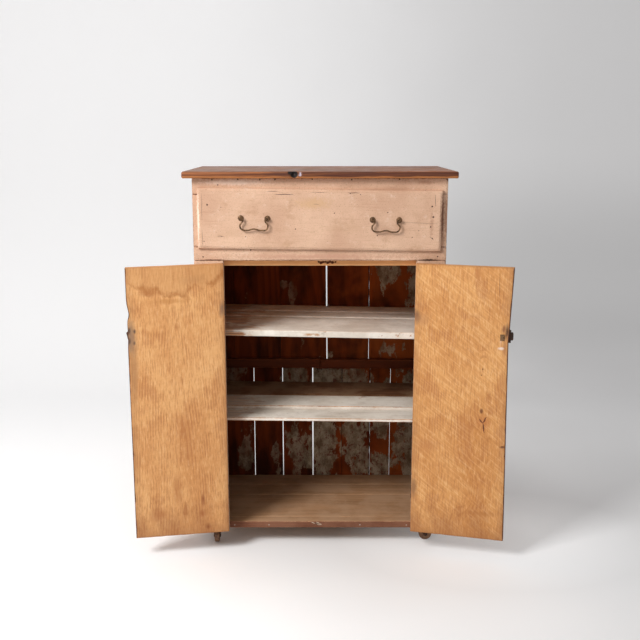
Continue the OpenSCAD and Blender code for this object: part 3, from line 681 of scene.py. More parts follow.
@dataclass(frozen=True)
class PeelingBoards(Finish):
    """Red-brown stained boards with what is left of a grey-beige distemper, in flakes."""

    blots: tuple[Blot, ...] = ()

    def build(self) -> bpy.types.Material:
        """Draws the stain, with painted light that makes it paler to the right, then the flakes
        with specks of the stain between them.

        Returns:
            The finished material.
        """
        g = Graph(self.name)
        place = g.add("TexCoord", **PLACE)
        plank = g.add("Attribute", **PLANK)
        late = Figure(pith=(-0.03, 0.12), pitch=0.012).late_wood(g, plank)
        wood = g.coat("#7a330f", "#5a230b", late, 0.0, 1.0, 0.6)
        wood = g.coat(wood, "#2a1006", g.pattern(plank, (90, 90, 260), 4, 0.6), 0.4, 0.66, 0.85)
        # Painted light: the stain is paler to the right, where the light from the left reaches the
        # back boards
        x = g.add("SeparateXYZ", [place], "X")
        lit = g.add("Math", [x, g.pattern(place, (120, 120, 120), 4)])
        wood = g.coat(wood, "#a8521f", lit, 0.5, 0.85, 0.7)
        flake = g.coat("#b7a78f", "#77654d", g.pattern(place, (30, 30, 45), 6, 0.75), 0.38, 0.62)
        flake = g.coat(flake, "#6a2a1a", g.pattern(place, (11, 11, 14), 5, 0.75), 0.53, 0.62, 0.8)
        peel = g.pattern(plank, (40, 40, 75), 8, 0.68)
        colour = g.coat(wood, flake, peel, 0.66, 0.72, 0.5)
        for blot in self.blots:
            near = g.near(place, blot, peel, 4.5)
            colour = g.coat(colour, flake, near, 1.06, 0.86, blot.most)
        colour = g.coat(colour, "#1c0f09", g.add("Attribute", **STAIN), 0.1, 0.8)
        fibre = g.pattern(plank, (2.6, 2.6, 50), 3, 0.6)
        colour = g.coat(colour, "#1c0b05", fibre, 0.5, 0.8, 0.35)
        return g.surface(colour, 0.8, [(peel, 0.8), (fibre, 0.2)], sheen=0.12)


@dataclass(frozen=True)
class DryPine(Finish):
    """Planed pine without a finish: dry, dull, with fine grain from front to back."""

    light: str = "#c9a072"
    dark: str = "#8f6440"
    grain: tuple[float, float, float] = (11, 170, 11)

    def build(self) -> bpy.types.Material:
        """Draws grain and clouds.

        Returns:
            The finished material.
        """
        g = Graph(self.name)
        place = g.add("TexCoord", **PLACE)
        grain = g.pattern(place, self.grain, 4, 0.6)
        colour = g.coat(self.light, self.dark, grain, 0.35, 0.7)
        colour = g.coat(colour, self.dark, g.pattern(place, (110, 110, 110), 5), 0.4, 0.75, 0.5)
        return g.surface(colour, 0.7, [(grain, 0.2)])


@dataclass(frozen=True)
class AgedMetal(Finish):
    """Old metal: dull, with rust or tarnish in its hollows and bright rubbed specks."""

    base: str = "#382b25"
    bloom: str = "#613f2d"
    shine: str = "#6f625a"
    metal: float = 0.6
    rough: tuple[float, float] = (0.45, 0.8)

    def build(self) -> bpy.types.Material:
        """Draws blotches of tarnish, bright specks and a fine pitted relief.

        Returns:
            The finished material.
        """
        g = Graph(self.name)
        place = g.add("TexCoord", **PLACE)
        blotch = g.pattern(place, (7, 7, 7), 5, 0.65)
        fine = g.pattern(place, (1.5, 1.5, 1.5), 4, 0.6)
        colour = g.coat(self.base, self.bloom, blotch, 0.42, 0.62)
        colour = g.coat(colour, self.shine, fine, 0.56, 0.72, 0.6)
        rough = g.add("MapRange", [blotch, 0.4, 0.65, *self.rough], **SMOOTH)
        return g.surface(colour, rough, [(blotch, 0.15), (fine, 0.06)], self.metal)


@dataclass(frozen=True)
class StudioPaper(Finish):
    """Seamless background paper: matt, pale, and painted a little greyer to the right as shade.

    To the eye it glows faintly with painted light away from the cabinet, which keeps its shadow at
    its foot.
    """

    # Painted light: pools where the paper looks brighter to the eye and the cast shadows round the
    # cabinet are lifted: middle, reach and strength of each glow
    bounces: tuple[tuple[tuple[float, ...], tuple[float, ...], float], ...] = (
        ((0.8, 1.0, 0), (1.5, 0.9, 0.4), 0.12),
        ((0.55, -0.08, 0), (0.5, 0.36, 0.4), 0.22),
        ((0.1, -0.5, 0), (0.9, 0.36, 0.4), 0.06),
    )

    def build(self) -> bpy.types.Material:
        """Draws matt paper that is whiter to the eye than to the light it passes on.

        Returns:
            The finished material.
        """
        g = Graph(self.name)
        place = g.add("TexCoord", **PLACE)
        x, z = (g.add("SeparateXYZ", [place], axis) for axis in ("X", "Z"))
        # Painted shade, greyer to the right, most of all 0.3 m up, low in the bend from floor to
        # wall
        part = g.add("Math", [x, g.pattern(place, (1300, 1300, 1300), 2)])
        part = g.add("MapRange", [part, -0.6, 2.0, 0.0, 1.0], **SMOOTH)
        low = g.add("MapRange", [z, 0.0, 0.3, 0.6, 1.0], **SMOOTH)
        rise = g.add("MapRange", [z, 0.3, 1.2, 1.0, 0.55], **SMOOTH)
        rise = g.add("Math", [low, rise], **TIMES)
        eye = g.coat("#fdfdfd", "#cacaca", g.add("Math", [part, rise], **TIMES), 0.0, 1.0)
        seen = g.seen()
        colour = g.add("Mix", {0: seen, 6: "#e4e4e5", 7: eye}, 2, **COLOUR)
        away = g.distance(place, (0, 0.1, 0), (1, 1, 1))
        glow = g.add("MapRange", [away, 0.42, 1.0, 0.0, 0.12], **SMOOTH)
        fade = g.add("MapRange", [z, 0.0, 1.0, 1.0, 0.55], **SMOOTH)
        glow = g.add("Math", [glow, fade], **TIMES)
        for middle, reach, most in self.bounces:
            bounce = g.add("MapRange", [g.distance(place, middle, reach), 1.0, 0.3, 0.0, most])
            glow = g.add("Math", [glow, bounce])
        glow = g.add("Math", [glow, seen], **TIMES)
        light = g.add("Emission", {"Color": eye, "Strength": glow})
        matt = g.add("BsdfDiffuse", {"Color": colour})
        g.add("OutputMaterial", [g.add("AddShader", [matt, light])])
        return g.material


@dataclass
class Paintbox:
    """All finishes, made once and shared."""

    made: dict[Look, bpy.types.Material] = field(init=False)

    def __post_init__(self) -> None:
        """Makes one material for each finish."""
        finishes = {
            Look.PINK_PAINT: MilkPaint("brushed_pink_milk_paint", blots=Blot.rows(
                (315, 896, 45, 5, "#3d2418", 0.95), (-310, 896, 50, 3, "#54301f", 0.9),
                (0, 896.5, 300, 1.8, "#6e4330", 0.7), (319, 1000, 8, 50, "#a5765c", 0.5),
                # Painted shade: the dark brown strips at x 350 and 361 stand for the shaded right
                # rounding of the drawer's lip and the lip's shadow on the stile beside it
                (350, 1020, 8.5, 100, "#7c4f38", 0.9), (361, 1020, 7, 110, "#946850", 0.85),
                (-362, 1020, 6, 110, "#c99e84", 0.6), (0, 906, 360, 11, "#c2937a", 0.75),
                # Painted light: the pale band at x -240 lightens the top rail in the shadow under
                # the worktop's overhang
                (-240, 1118, 130, 12, "#f7dfcc", 0.6), (300, 1118, 35, 8, "#b07f64", 0.6),
                # Painted highlight: the pale strip at x -348.5 on the drawer lip's left rounding,
                # which faces the light
                (-348.5, 1020, 6, 100, "#f6dfcb", 0.8), (-20, 1060, 70, 25, "#cfa57a", 0.6),
                (60, 990, 90, 20, "#c79f80", 0.5), (-250, 975, 60, 20, "#c9a283", 0.5),
                (200, 1100, 120, 12, "#b98f73", 0.5),
            )),
            Look.STAINED_PINE: VarnishedStain(
                "worn_varnish_over_red_brown_stain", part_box("top_board")[0][1],
                Blot.rows((-56, 1141, 5, 8, "#c3bccb", 0.9)),
            ),
            Look.SHELF_PAINT: ThinPaint("thin_off_white_oil_paint", blots=Blot.rows(
                (-262, 671, 35, 8, "#b37a48", 0.9), (-232, 670, 15, 8, "#a5673a", 0.9),
                (-35, 668, 22, 7, "#b88250", 0.9), (-8, 668, 14, 7, "#b07840", 0.9),
            )),
            Look.OLD_BROWN: DarkStain("dark_oil_stain_on_old_pine"),
            Look.BACK_BROWN: self._back(),
            Look.BARE_PINE: DryPine("planed_dry_pine"),
            Look.WHEEL_WOOD: DryPine("turned_maple", "#9a7557", "#54382a", (14, 14, 14)),
            Look.DARK_IRON: AgedMetal("rusty_cast_iron"),
            Look.AGED_BRASS: AgedMetal(
                "tarnished_cast_brass", "#7c5d40", "#3e2a1b", "#cfae84", 0.7, (0.34, 0.6)
            ),
            Look.LEFT_DOOR: self._left_door(),
            Look.RIGHT_DOOR: self._right_door(),
            Look.DUST_EDGE: DarkStain(
                "dirty_bare_pine_edge", "#f2b277", "#c98a55", "#f2c08a", "#dda068"
            ),
            Look.FLOOR: DarkStain("scuffed_oil_stain", "#b08662", "#84603f", "#bd916a", "#b99474"),
            Look.FLOOR_EDGE: DarkStain(
                "hand_dark_stain_edge", "#7d4f3a", "#4d2b1b", "#d9a880", "#8b6049"
            ),
            Look.BARE_SHELF: ThinPaint("rubbed_off_white_oil_paint", 1.0, 0.5),
            Look.RED_BATTEN: DarkStain(
                "red_brown_stain", "#6b2f14", "#3a180a", "#8f4720", "#5a2a14"
            ),
            Look.INNER_SIDE: DarkStain(
                "soot_dark_oil_stain", "#5e3d2a", "#3d2416", "#7d583e", "#6b4c38"
            ),
            Look.WEATHERED: DarkStain(
                "weathered_bare_pine", "#8f7058", "#5f4634", "#a98d70", "#998673"
            ),
            Look.JOINT_DIRT: DryPine("dust_packed_joint", "#3a2216", "#20110a"),
            Look.DOOR_EDGE: DarkStain(
                "hand_dark_pine_edge", "#7d5238", "#4a2c1c", "#9a6e4c", "#75543e"
            ),
            # Dark lines of the drawer front: cracks, and the painted shadow line of its step
            Look.SPLIT_AND_STEP_SHADOW: DryPine("dark_split_pine_and_step_shadow", "#4a2c1e", "#2a1812"),
            Look.RESIN_CRACK: DryPine("resin_brown_split", "#7a3f20", "#54260f"),
            Look.NAIL: AgedMetal("rusty_cut_nail", "#54301f", "#3a2018", "#8a6650", 0.2),
            Look.BRIGHT_NAIL: AgedMetal("rubbed_cut_nail", "#b9a89a", "#8b7566", "#d8cdc2", 0.4),
            Look.SCRAPE: DryPine("freshly_scraped_pine", "#d8c3ac", "#a98a6e"),
            Look.PAPER: StudioPaper("seamless_background_paper"),
        }
        self.made = {key: finish.build() for key, finish in finishes.items()}

    @staticmethod
    def _back() -> PeelingBoards:
        """Makes the back's finish.

        Returns:
            Stained boards with their flakes where the real ones are.
        """
        # Middle and reach of each patch of flakes in millimetres, and how well it covers
        places = (
            (-258, 190, 20, 80, 0.5), (-262, 115, 24, 30, 0.5), (-152, 130, 18, 42, 0.5),
            (-76, 165, 30, 75, 0.75), (-88, 240, 14, 40, 0.6), (6, 200, 44, 190, 0.9),
            (118, 210, 44, 85, 0.9), (146, 140, 30, 60, 0.8), (208, 272, 44, 54, 0.9),
            (208, 100, 44, 50, 0.9), (306, 180, 46, 150, 0.9), (264, 118, 24, 26, 0.8),
            (-300, 425, 40, 52, 0.35), (-75, 425, 56, 60, 0.7), (30, 425, 60, 60, 0.8),
            (130, 420, 50, 46, 0.65), (222, 396, 34, 34, 0.85), (316, 425, 50, 60, 0.9),
            (-55, 588, 9, 24, 0.4), (246, 530, 34, 24, 0.7), (-96, 722, 16, 34, 0.35),
            (-122, 757, 12, 16, 0.35), (225, 802, 42, 56, 0.9), (322, 770, 30, 100, 0.9),
        )
        rows = ((*place, "#b7a78f", most) for *place, most in places)
        return PeelingBoards("peeling_distemper_over_stain", Blot.rows(*rows))

    @staticmethod
    def _left_door() -> AmberPine:
        """Makes the left door's wood.

        Returns:
            Amber pine with straight rings and a flame at the foot.
        """
        return AmberPine(
            "straight_grained_amber_pine",
            Figure(pith=(-0.005, 0.03), pitch=0.0075, taper=0.045, wander=0.035),
            saw_turn=math.radians(80),
            saw_depth=0.05,
            ring_depth=0.55,
            tide=0.277,
            blots=Blot.rows(
                (131, 205, 22, 75, "#7a6353", 0.7), (135, 228, 6, 13, "#4d3a30", 0.9),
                (119, 226, 6, 10, "#5a453a", 0.9), (135, 198, 6, 14, "#4d3a30", 0.9),
                (121, 192, 6, 10, "#5a453a", 0.9), (125, 100, 16, 130, "#a8794f", 0.6),
                (85, 335, 30, 12, "#aa6c3b", 0.5), (20, 310, 60, 12, "#b0702f", 0.5),
                (-62, -300, 9, 35, "#8a4a26", 0.9), (-58, -345, 16, 20, "#a05a2f", 0.7),
                (-75, -390, 12, 16, "#8a4a26", 0.8), (12, -270, 20, 60, "#ac6c38", 0.5),
                (70, -340, 35, 30, "#a8683a", 0.6), (-132, 283, 14, 35, "#6c5648", 0.7),
                (-50, 370, 50, 20, "#b98654", 0.5),
            ),
        )

    @staticmethod
    def _right_door() -> AmberPine:
        """Makes the right door's wood.

        Returns:
            Amber pine with swirls round its knots, under slanting saw marks.
        """
        return AmberPine(
            "swirly_grained_amber_pine",
            Figure(
                pith=(-0.045, 0.06),
                pitch=0.007,
                taper=0.028,
                wander=0.045,
                knots=(
                    Knot(-0.061, 0.1135, 0.028, 0.0024),
                    Knot(-0.058, 0.0955, 0.022, 0.0018),
                    Knot(-0.062, -0.0125, 0.024, 0.006),
                    Knot(-0.035, 0.22, 0.03),
                    Knot(-0.03, -0.26, 0.04),
                ),
            ),
            saw_turn=math.radians(-52),
            saw_depth=0.24,
            ring_depth=0.48,
            pale="#da9f60",
            deep="#c98a4c",
            blots=Blot.rows(
                (-131, 225, 11, 32, "#4a2c1e", 0.95), (-118, 235, 10, 16, "#7b4a30", 0.8),
                (-125, 180, 12, 30, "#9a6440", 0.6), (-113, 178, 13, 6, "#ecd9cb", 0.8),
                (-110, 200, 4, 20, "#ddb79c", 0.8), (132, 260, 16, 30, "#6f4a33", 0.8),
                (115, 250, 30, 30, "#b17c50", 0.5), (132, -270, 16, 50, "#7d5539", 0.7),
                (-60, -330, 60, 12, "#ae6f3c", 0.6), (-65, -45, 30, 30, "#b9733f", 0.5),
                (-127, -118, 14, 6, "#5a3a28", 0.8), (90, -130, 50, 30, "#b87a48", 0.5),
            ),
        )

    def __getitem__(self, key: Look) -> bpy.types.Material:
        """Returns one finish."""
        return self.made[key]


def span(places: Iterable[Vector]) -> tuple[Vector, Vector]:
    """Returns the lowest and the highest corner of the box round some places."""
    columns = list(zip(*places))
    return Vector([min(c) for c in columns]), Vector([max(c) for c in columns])


def merged(node: str) -> bmesh.types.BMesh:
    """Copies a CAD node's mesh and merges its doubles.

    Args:
        node: The CAD node.

    Returns:
        The copy.
    """
    bm = bmesh.new()
    bm.from_mesh(frame["nodes"][node].data)
    bmesh.ops.remove_doubles(bm, verts=bm.verts, dist=CLOSE)
    return bm


def cut(bm: bmesh.types.BMesh, at: Vector, normal: Vector) -> None:
    """Cuts all of a mesh along a plane, and keeps both sides."""
    whole = bm.verts[:] + bm.edges[:] + bm.faces[:]
    bmesh.ops.bisect_plane(bm, geom=whole, dist=CLOSE, plane_co=at, plane_no=normal)


def round_off(
    bm: bmesh.types.BMesh, edges: Sequence[bmesh.types.BMEdge], radius: float, segments: int
) -> None:
    """Rounds edges off.

    Args:
        bm: The mesh.
        edges: Its edges to round.
        radius: Width taken off on each side.
        segments: Number of flats in the rounding.
    """
    bmesh.ops.bevel(
        bm, geom=edges, offset=radius, offset_type="OFFSET", affect="EDGES",
        segments=segments, profile=0.5, material=-1,
    )


@dataclass(frozen=True)
class Chip:
    """A knock, hole or hollow: its middle, reach, push and how dark it is."""

    at: Vector
    reach: float
    push: Vector
    stain: float = 0.0


@dataclass
class Block:
    """An eight-cornered board, its corners sorted by across, through and along."""

    corners: list[Vector]

    @classmethod
    def around(cls, verts: Sequence[Vector], edges: Iterable[Vector]) -> "Block":
        """Fits a block to a board.

        Args:
            verts: The board's corners.
            edges: Its edges, as vectors.

        Returns:
            The board's own corners if it has eight, or else the box around it.
        """
        edges = sorted(edges, key=lambda e: -e.length)
        along = edges[0].normalized()
        across = next(e for e in edges if abs(e.normalized().dot(along)) < 0.1)
        across = (across - across.dot(along) * along).normalized()
        axes = [cls._positive(a) for a in (across, along.cross(across), along)]
        middle = sum(verts, Vector()) / len(verts)
        local = [Vector([(v - middle).dot(a) for a in axes]) for v in verts]
        if len(verts) == 8:
            keys = [(p.z > 0, p.y > 0, p.x > 0) for p in local]
            return cls([verts[i] for i in sorted(range(8), key=lambda i: keys[i])])
        corners = cls.box(*span(local)).corners
        return cls([middle + sum((c[i] * axes[i] for i in range(3)), Vector()) for c in corners])

    @classmethod
    def box(cls, lo: Sequence[float], hi: Sequence[float]) -> "Block":
        """Returns the block between two corners, across X, through Y and along Z."""
        sides = [(lo[i], hi[i]) for i in range(3)]
        return cls([Vector((x, y, z)) for z in sides[2] for y in sides[1] for x in sides[0]])

    @staticmethod
    def _positive(axis: Vector) -> Vector:
        """Turns an axis so that its largest part is positive."""
        return axis if max(axis, key=abs) > 0 else -axis

    @property
    def size(self) -> Vector:
        """Measures the block.

        Returns:
            Its mean size across, through and along.
        """
        c = self.corners
        pairs = [[(i, i + s) for i in range(8) if not i & s] for s in (1, 2, 4)]
        return Vector([sum((c[b] - c[a]).length for a, b in p) / 4 for p in pairs])

    def at(self, share: Sequence[float]) -> Vector:
        """Finds a place in the block.

        Args:
            share: Shares 0 to 1 of across, through and along.

        Returns:
            The place.
        """
        x, y, z = share
        weights = [
            (z if i & 4 else 1 - z) * (y if i & 2 else 1 - y) * (x if i & 1 else 1 - x)
            for i in range(8)
        ]
        return sum((w * c for w, c in zip(weights, self.corners)), Vector())


@dataclass
class Wear:
    """How worn a board is, in metres: the radius of its arrises, the width of the worn
    margin, the pitch of the grid, how uneven its arrises are and its faces' hollows."""

    arris: float = 1.6 * MM
    margin: float = 8 * MM
    pitch: float = 24 * MM
    uneven: float = 0.7 * MM
    face: float = 0.3 * MM

    def cuts(self, length: float, extra: Iterable[float] = ()) -> list[float]:
        """Divides one side of a board into a grid.

        Args:
            length: Length of the side.
            extra: More places that need a cut.

        Returns:
            The places of the cuts along the side.
        """
        margin = min(self.margin, length / 3)
        inner = length - 2 * margin
        count = max(1, round(inner / self.pitch))
        places = [margin + inner * i / count for i in range(count + 1)]
        places += [e for e in extra if self.arris < e < length - self.arris]
        result: list[float] = []
        for place in sorted(places):
            if not result or place - result[-1] > 0.3 * MM:
                result.append(place)
        return result


@dataclass
class Joiner:
    """Makes worn boards in one mesh, with attributes for the finishes.

    plank is the place in the board's own frame, wear is 1 on an arris and 0 on a face, and
    stain is 1 in a dark hole.
    """

    wear: Wear
    chips: Sequence[Chip] = ()
    shape: Callable[[Vector], Vector] | None = None
    extra: Cuts = ((), (), ())

    def __post_init__(self) -> None:
        """Starts an empty mesh."""
        self.bm = bmesh.new()

    def add(self, block: Block, seed: float = 0.0) -> None:
        """Adds one board.

        Args:
            block: The board's corners.
            seed: Number that sets its figure and knocks apart from the others'.
        """
        size = block.size
        board = bmesh.new()
        scale = Matrix.Diagonal((*size, 1)) @ Matrix.Translation((0.5, 0.5, 0.5))
        bmesh.ops.create_cube(board, size=1, matrix=scale)
        arris = min(self.wear.arris, min(size) / 5)
        round_off(board, board.edges[:], arris, 2)
        for axis, normal in enumerate(AXES):
            for place in self.wear.cuts(size[axis], self.extra[axis]):
                cut(board, normal * place, normal)
        self._age(board, block, arris, seed)
        self.merge(board)

    def merge(self, board: bmesh.types.BMesh) -> None:
        """Adds a finished board to the joint mesh, and frees it.

        Args:
            board: The board.
        """
        loose = bpy.data.meshes.new("board")
        board.to_mesh(loose)
        board.free()
        self.bm.from_mesh(loose)
        bpy.data.meshes.remove(loose)

    def _age(self, board: bmesh.types.BMesh, block: Block, arris: float, seed: float) -> None:
        """Wears a board's arrises, knocks its chips out and puts it in its place.

        Args:
            board: The board, with its corner at the origin.
            block: Its corners in the cabinet.
            arris: Radius of its arrises.
            seed: Number that sets its knocks apart from the others'.
        """
        layers = board.verts.layers
        plank = layers.float_vector.new("plank")
        rub = layers.float.new("wear")
        stain = layers.float.new("stain")
        size = block.size
        middle = block.at((0.5, 0.5, 0.5))
        through = (block.at((0.5, 1, 0.5)) - middle).normalized()
        margin = min(self.wear.margin, 0.8 * size[1], 0.8 * size[0])
        shift = Vector((0.02 * math.sin(7 * seed), 0.0, 1.7 * seed))
        for v in board.verts:
            p = v.co.copy()
            v[plank] = p - size / 2 + shift
            gaps = sorted(min(c, s - c) for c, s in zip(p, size))
            v[rub] = max(0.0, 1 - gaps[1] / margin)
            world = block.at([c / s for c, s in zip(p, size)])
            rough = noise.noise(world * ROUGH_WAVES + Vector((seed, 0, 0)))
            knock = max(0.0, noise.noise(world * KNOCK_WAVES + Vector((0, seed, 0))) - 0.15)
            core = Vector([min(max(c, 2 * arris), s - 2 * arris) for c, s in zip(p, size)])
            inward = (core - p).normalized()
            depth = v[rub] ** 2 * self.wear.uneven * (0.35 + 0.65 * abs(rough) + 1.6 * knock)
            world = block.at([c / s for c, s in zip(p + inward * depth, size)])
            wave = 0.5 + 0.5 * noise.noise(world * HOLLOW_WAVES + Vector((0, 0, seed)))
            side = (world - middle).dot(through) * 2 / size[1]
            world -= through * side * self.wear.face * wave
            v[stain] = 0.0
            for chip in self.chips:
                near = (world - chip.at).length / chip.reach
                if near < 1:
                    fall = (1 - near * near) ** 2
                    world += chip.push * fall
                    v[stain] = max(v[stain], chip.stain * min(1.0, 2 * fall))
            v.co = self.shape(world) if self.shape else world

    def piece(self, name: str, looks: Sequence[bpy.types.Material]) -> bpy.types.Object:
        """Returns the boards as one smooth-shaded object with the given materials."""
        bmesh.ops.recalc_face_normals(self.bm, faces=self.bm.faces)
        return piece(name, self.bm, looks)


def piece(
    name: str, bm: bmesh.types.BMesh, looks: Sequence[bpy.types.Material], sharp: float = 50
) -> bpy.types.Object:
    """Turns a bmesh into an object at the origin, and frees it.

    Args:
        name: Name of the object.
        bm: The mesh, in the frame's metres.
        looks: Materials for its slots.
        sharp: Angle in degrees from which an edge stays sharp.

    Returns:
        The new object, linked into the scene.
    """
    mesh = bpy.data.meshes.new(name)
    bm.to_mesh(mesh)
    bm.free()
    for look in looks:
        mesh.materials.append(look)
    mesh.shade_smooth()
    mesh.set_sharp_from_angle(angle=math.radians(sharp))
    obj = bpy.data.objects.new(name, mesh)
    bpy.context.scene.collection.objects.link(obj)
    log.info("%s: %d faces", name, len(mesh.polygons))
    return obj


def blocks(node: str) -> list[Block]:
    """Splits a CAD node into its boards.

    Args:
        node: The CAD node.

    Returns:
        Its boards as blocks, from the left one on.
    """
    bm = merged(node)
    bmesh.ops.dissolve_limit(bm, angle_limit=math.radians(0.5), verts=bm.verts, edges=bm.edges)
    left, found = set(bm.verts), []
    while left:
        island, heap = set(), [next(iter(left))]
        while heap:
            v = heap.pop()
            if v not in island:
                island.add(v)
                heap += [e.other_vert(v) for e in v.link_edges]
        left -= island
        verts = sorted((v.co.copy() for v in island), key=tuple)
        spans = [e.verts[1].co - e.verts[0].co for v in island for e in v.link_edges]
        found.append(Block.around(verts, sorted(spans, key=tuple)))
    bm.free()
    return sorted(found, key=lambda b: tuple(round(c, 4) for c in b.at((0.5, 0.5, 0.5))))


@dataclass
class Bench:
    """Puts finished pieces on the bodies of the record, in the finishes of their slots."""

    looks: Paintbox

    def __post_init__(self) -> None:
        """Reads which body and slot each CAD node has."""
        record = frame["record"]
        self.body = {
            n: body for body, nodes in record["behaviour"]["bodies"].items() for n in nodes
        }
        self.slots = {s["node"]: s["material_slot"] for s in record["subparts"]}
        self.joints = {j["name"]: j for j in record["behaviour"]["joints"]}

    def dress(self, obj: bpy.types.Object, *nodes: str) -> bpy.types.Object:
        """Lets a piece stand for CAD nodes, which it hides, and puts it on their body.

        Args:
            obj: The piece.
            *nodes: The CAD nodes, the first of which gives the body.

        Returns:
            The piece.
        """
        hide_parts(*nodes)
        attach(obj, self.body[nodes[0]])
        return obj

    def boards(
        self,
        node: str,
        wear: Wear | None = None,
        chips: Sequence[Chip] = (),
        look: Look | None = None,
        extra: Cuts = ((), (), ()),
        other: tuple[Look, Vector] | None = None,
    ) -> bpy.types.Object:
        """Makes the boards of a CAD node again, worn.

        Args:
            node: The CAD node.
            wear: Its wear, or the usual.
            chips: Its knocks.
            look: Its finish, or that of its slot.
            extra: More cuts across, through and along.
            other: Another finish, and the way that its faces look.

        Returns:
            The piece, which stands for the node.
        """
        joiner = Joiner(wear or Wear(), chips, None, extra)
        # A number from the node's name sets its figure and knocks apart from the others'
        start = sum(map(ord, node)) % 89 * 0.37
        for i, block in enumerate(blocks(node)):
            joiner.add(block, start + 1.3 * i)
        looks = [self.looks[look or Look(self.slots[node])]]
        if other:
            looks.append(self.looks[other[0]])
            bmesh.ops.recalc_face_normals(joiner.bm, faces=joiner.bm.faces)
            for f in joiner.bm.faces:
                f.material_index = int(f.normal.dot(other[1]) > 0.6)
        return self.dress(joiner.piece(node + "_worn", looks), node)

    def skin(self, node: str, sharp: float = 35) -> bpy.types.Object:
        """Makes a CAD fitting again with a smooth skin, sharp from an angle in degrees."""
        look = self.looks[Look(self.slots[node])]
        return self.dress(piece(node + "_skin", merged(node), [look], sharp), node)

    def heads(
        self,
        name: str,
        node: str,
        places: Iterable[Sequence[float]],
        facing: Vector,
        look: Look,
        move: Matrix = Matrix(),
    ) -> None:
        """Sets nail heads on a flat face.

        Args:
            name: Name of the piece.
            node: CAD node that carries them.
            places: The middle on the face and the radius of each, in metres.
            facing: The way they face.
            look: Their finish.
            move: Moves them all, such as with a tilted or open board.
        """
        rise = 0.25 * MM
        bm = bmesh.new()
        turn = facing.to_track_quat("Z", "Y").to_matrix().to_4x4()
        for *place, radius in places:
            bmesh.ops.create_cone(
                bm, cap_ends=True, segments=12, radius1=radius, radius2=0.7 * radius,
                depth=2 * rise, matrix=Matrix.Translation(Vector(place)) @ turn,
            )
        bmesh.ops.transform(bm, matrix=move, verts=bm.verts)
        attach(piece(name, bm, [self.looks[look]]), self.body[node])

    def crack(
        self,
        name: str,
        node: str,
        lines: Iterable[Sequence[Sequence[float]]],
        facing: Vector,
        width: float,
        look: Look = Look.SPLIT_AND_STEP_SHADOW,
        move: Matrix = Matrix(),
    ) -> None:
        """Draws cracks on a flat face, as thin dark wedges.

        Args:
            name: Name of the piece.
            node: CAD node that carries them.
            lines: The two ends of each crack, in metres.
            facing: The way the face looks.
            width: Greatest width.
            look: Their finish.
            move: Moves them all, such as with a tilted or open board.
        """
        rise = 0.12 * MM
        bm = bmesh.new()
        for ends in lines:
            start, end = map(Vector, ends)
            way = end - start
            side = facing.cross(way.normalized())
            for v in bmesh.ops.create_grid(bm, x_segments=9, y_segments=1, size=0.5)["verts"]:
                t = v.co.x + 0.5
                wide = width * v.co.y * (0.25 + math.sin(math.pi * min(t, 0.98)))
                bend = noise.noise(start * 50 + Vector((3 * t, 0, 0))) * 0.8 * width
                v.co = start + way * t + side * (wide + bend) + facing * rise
        bmesh.ops.transform(bm, matrix=move, verts=bm.verts)
        bm.normal_update()
        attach(piece(name, bm, [self.looks[look]]), self.body[node])


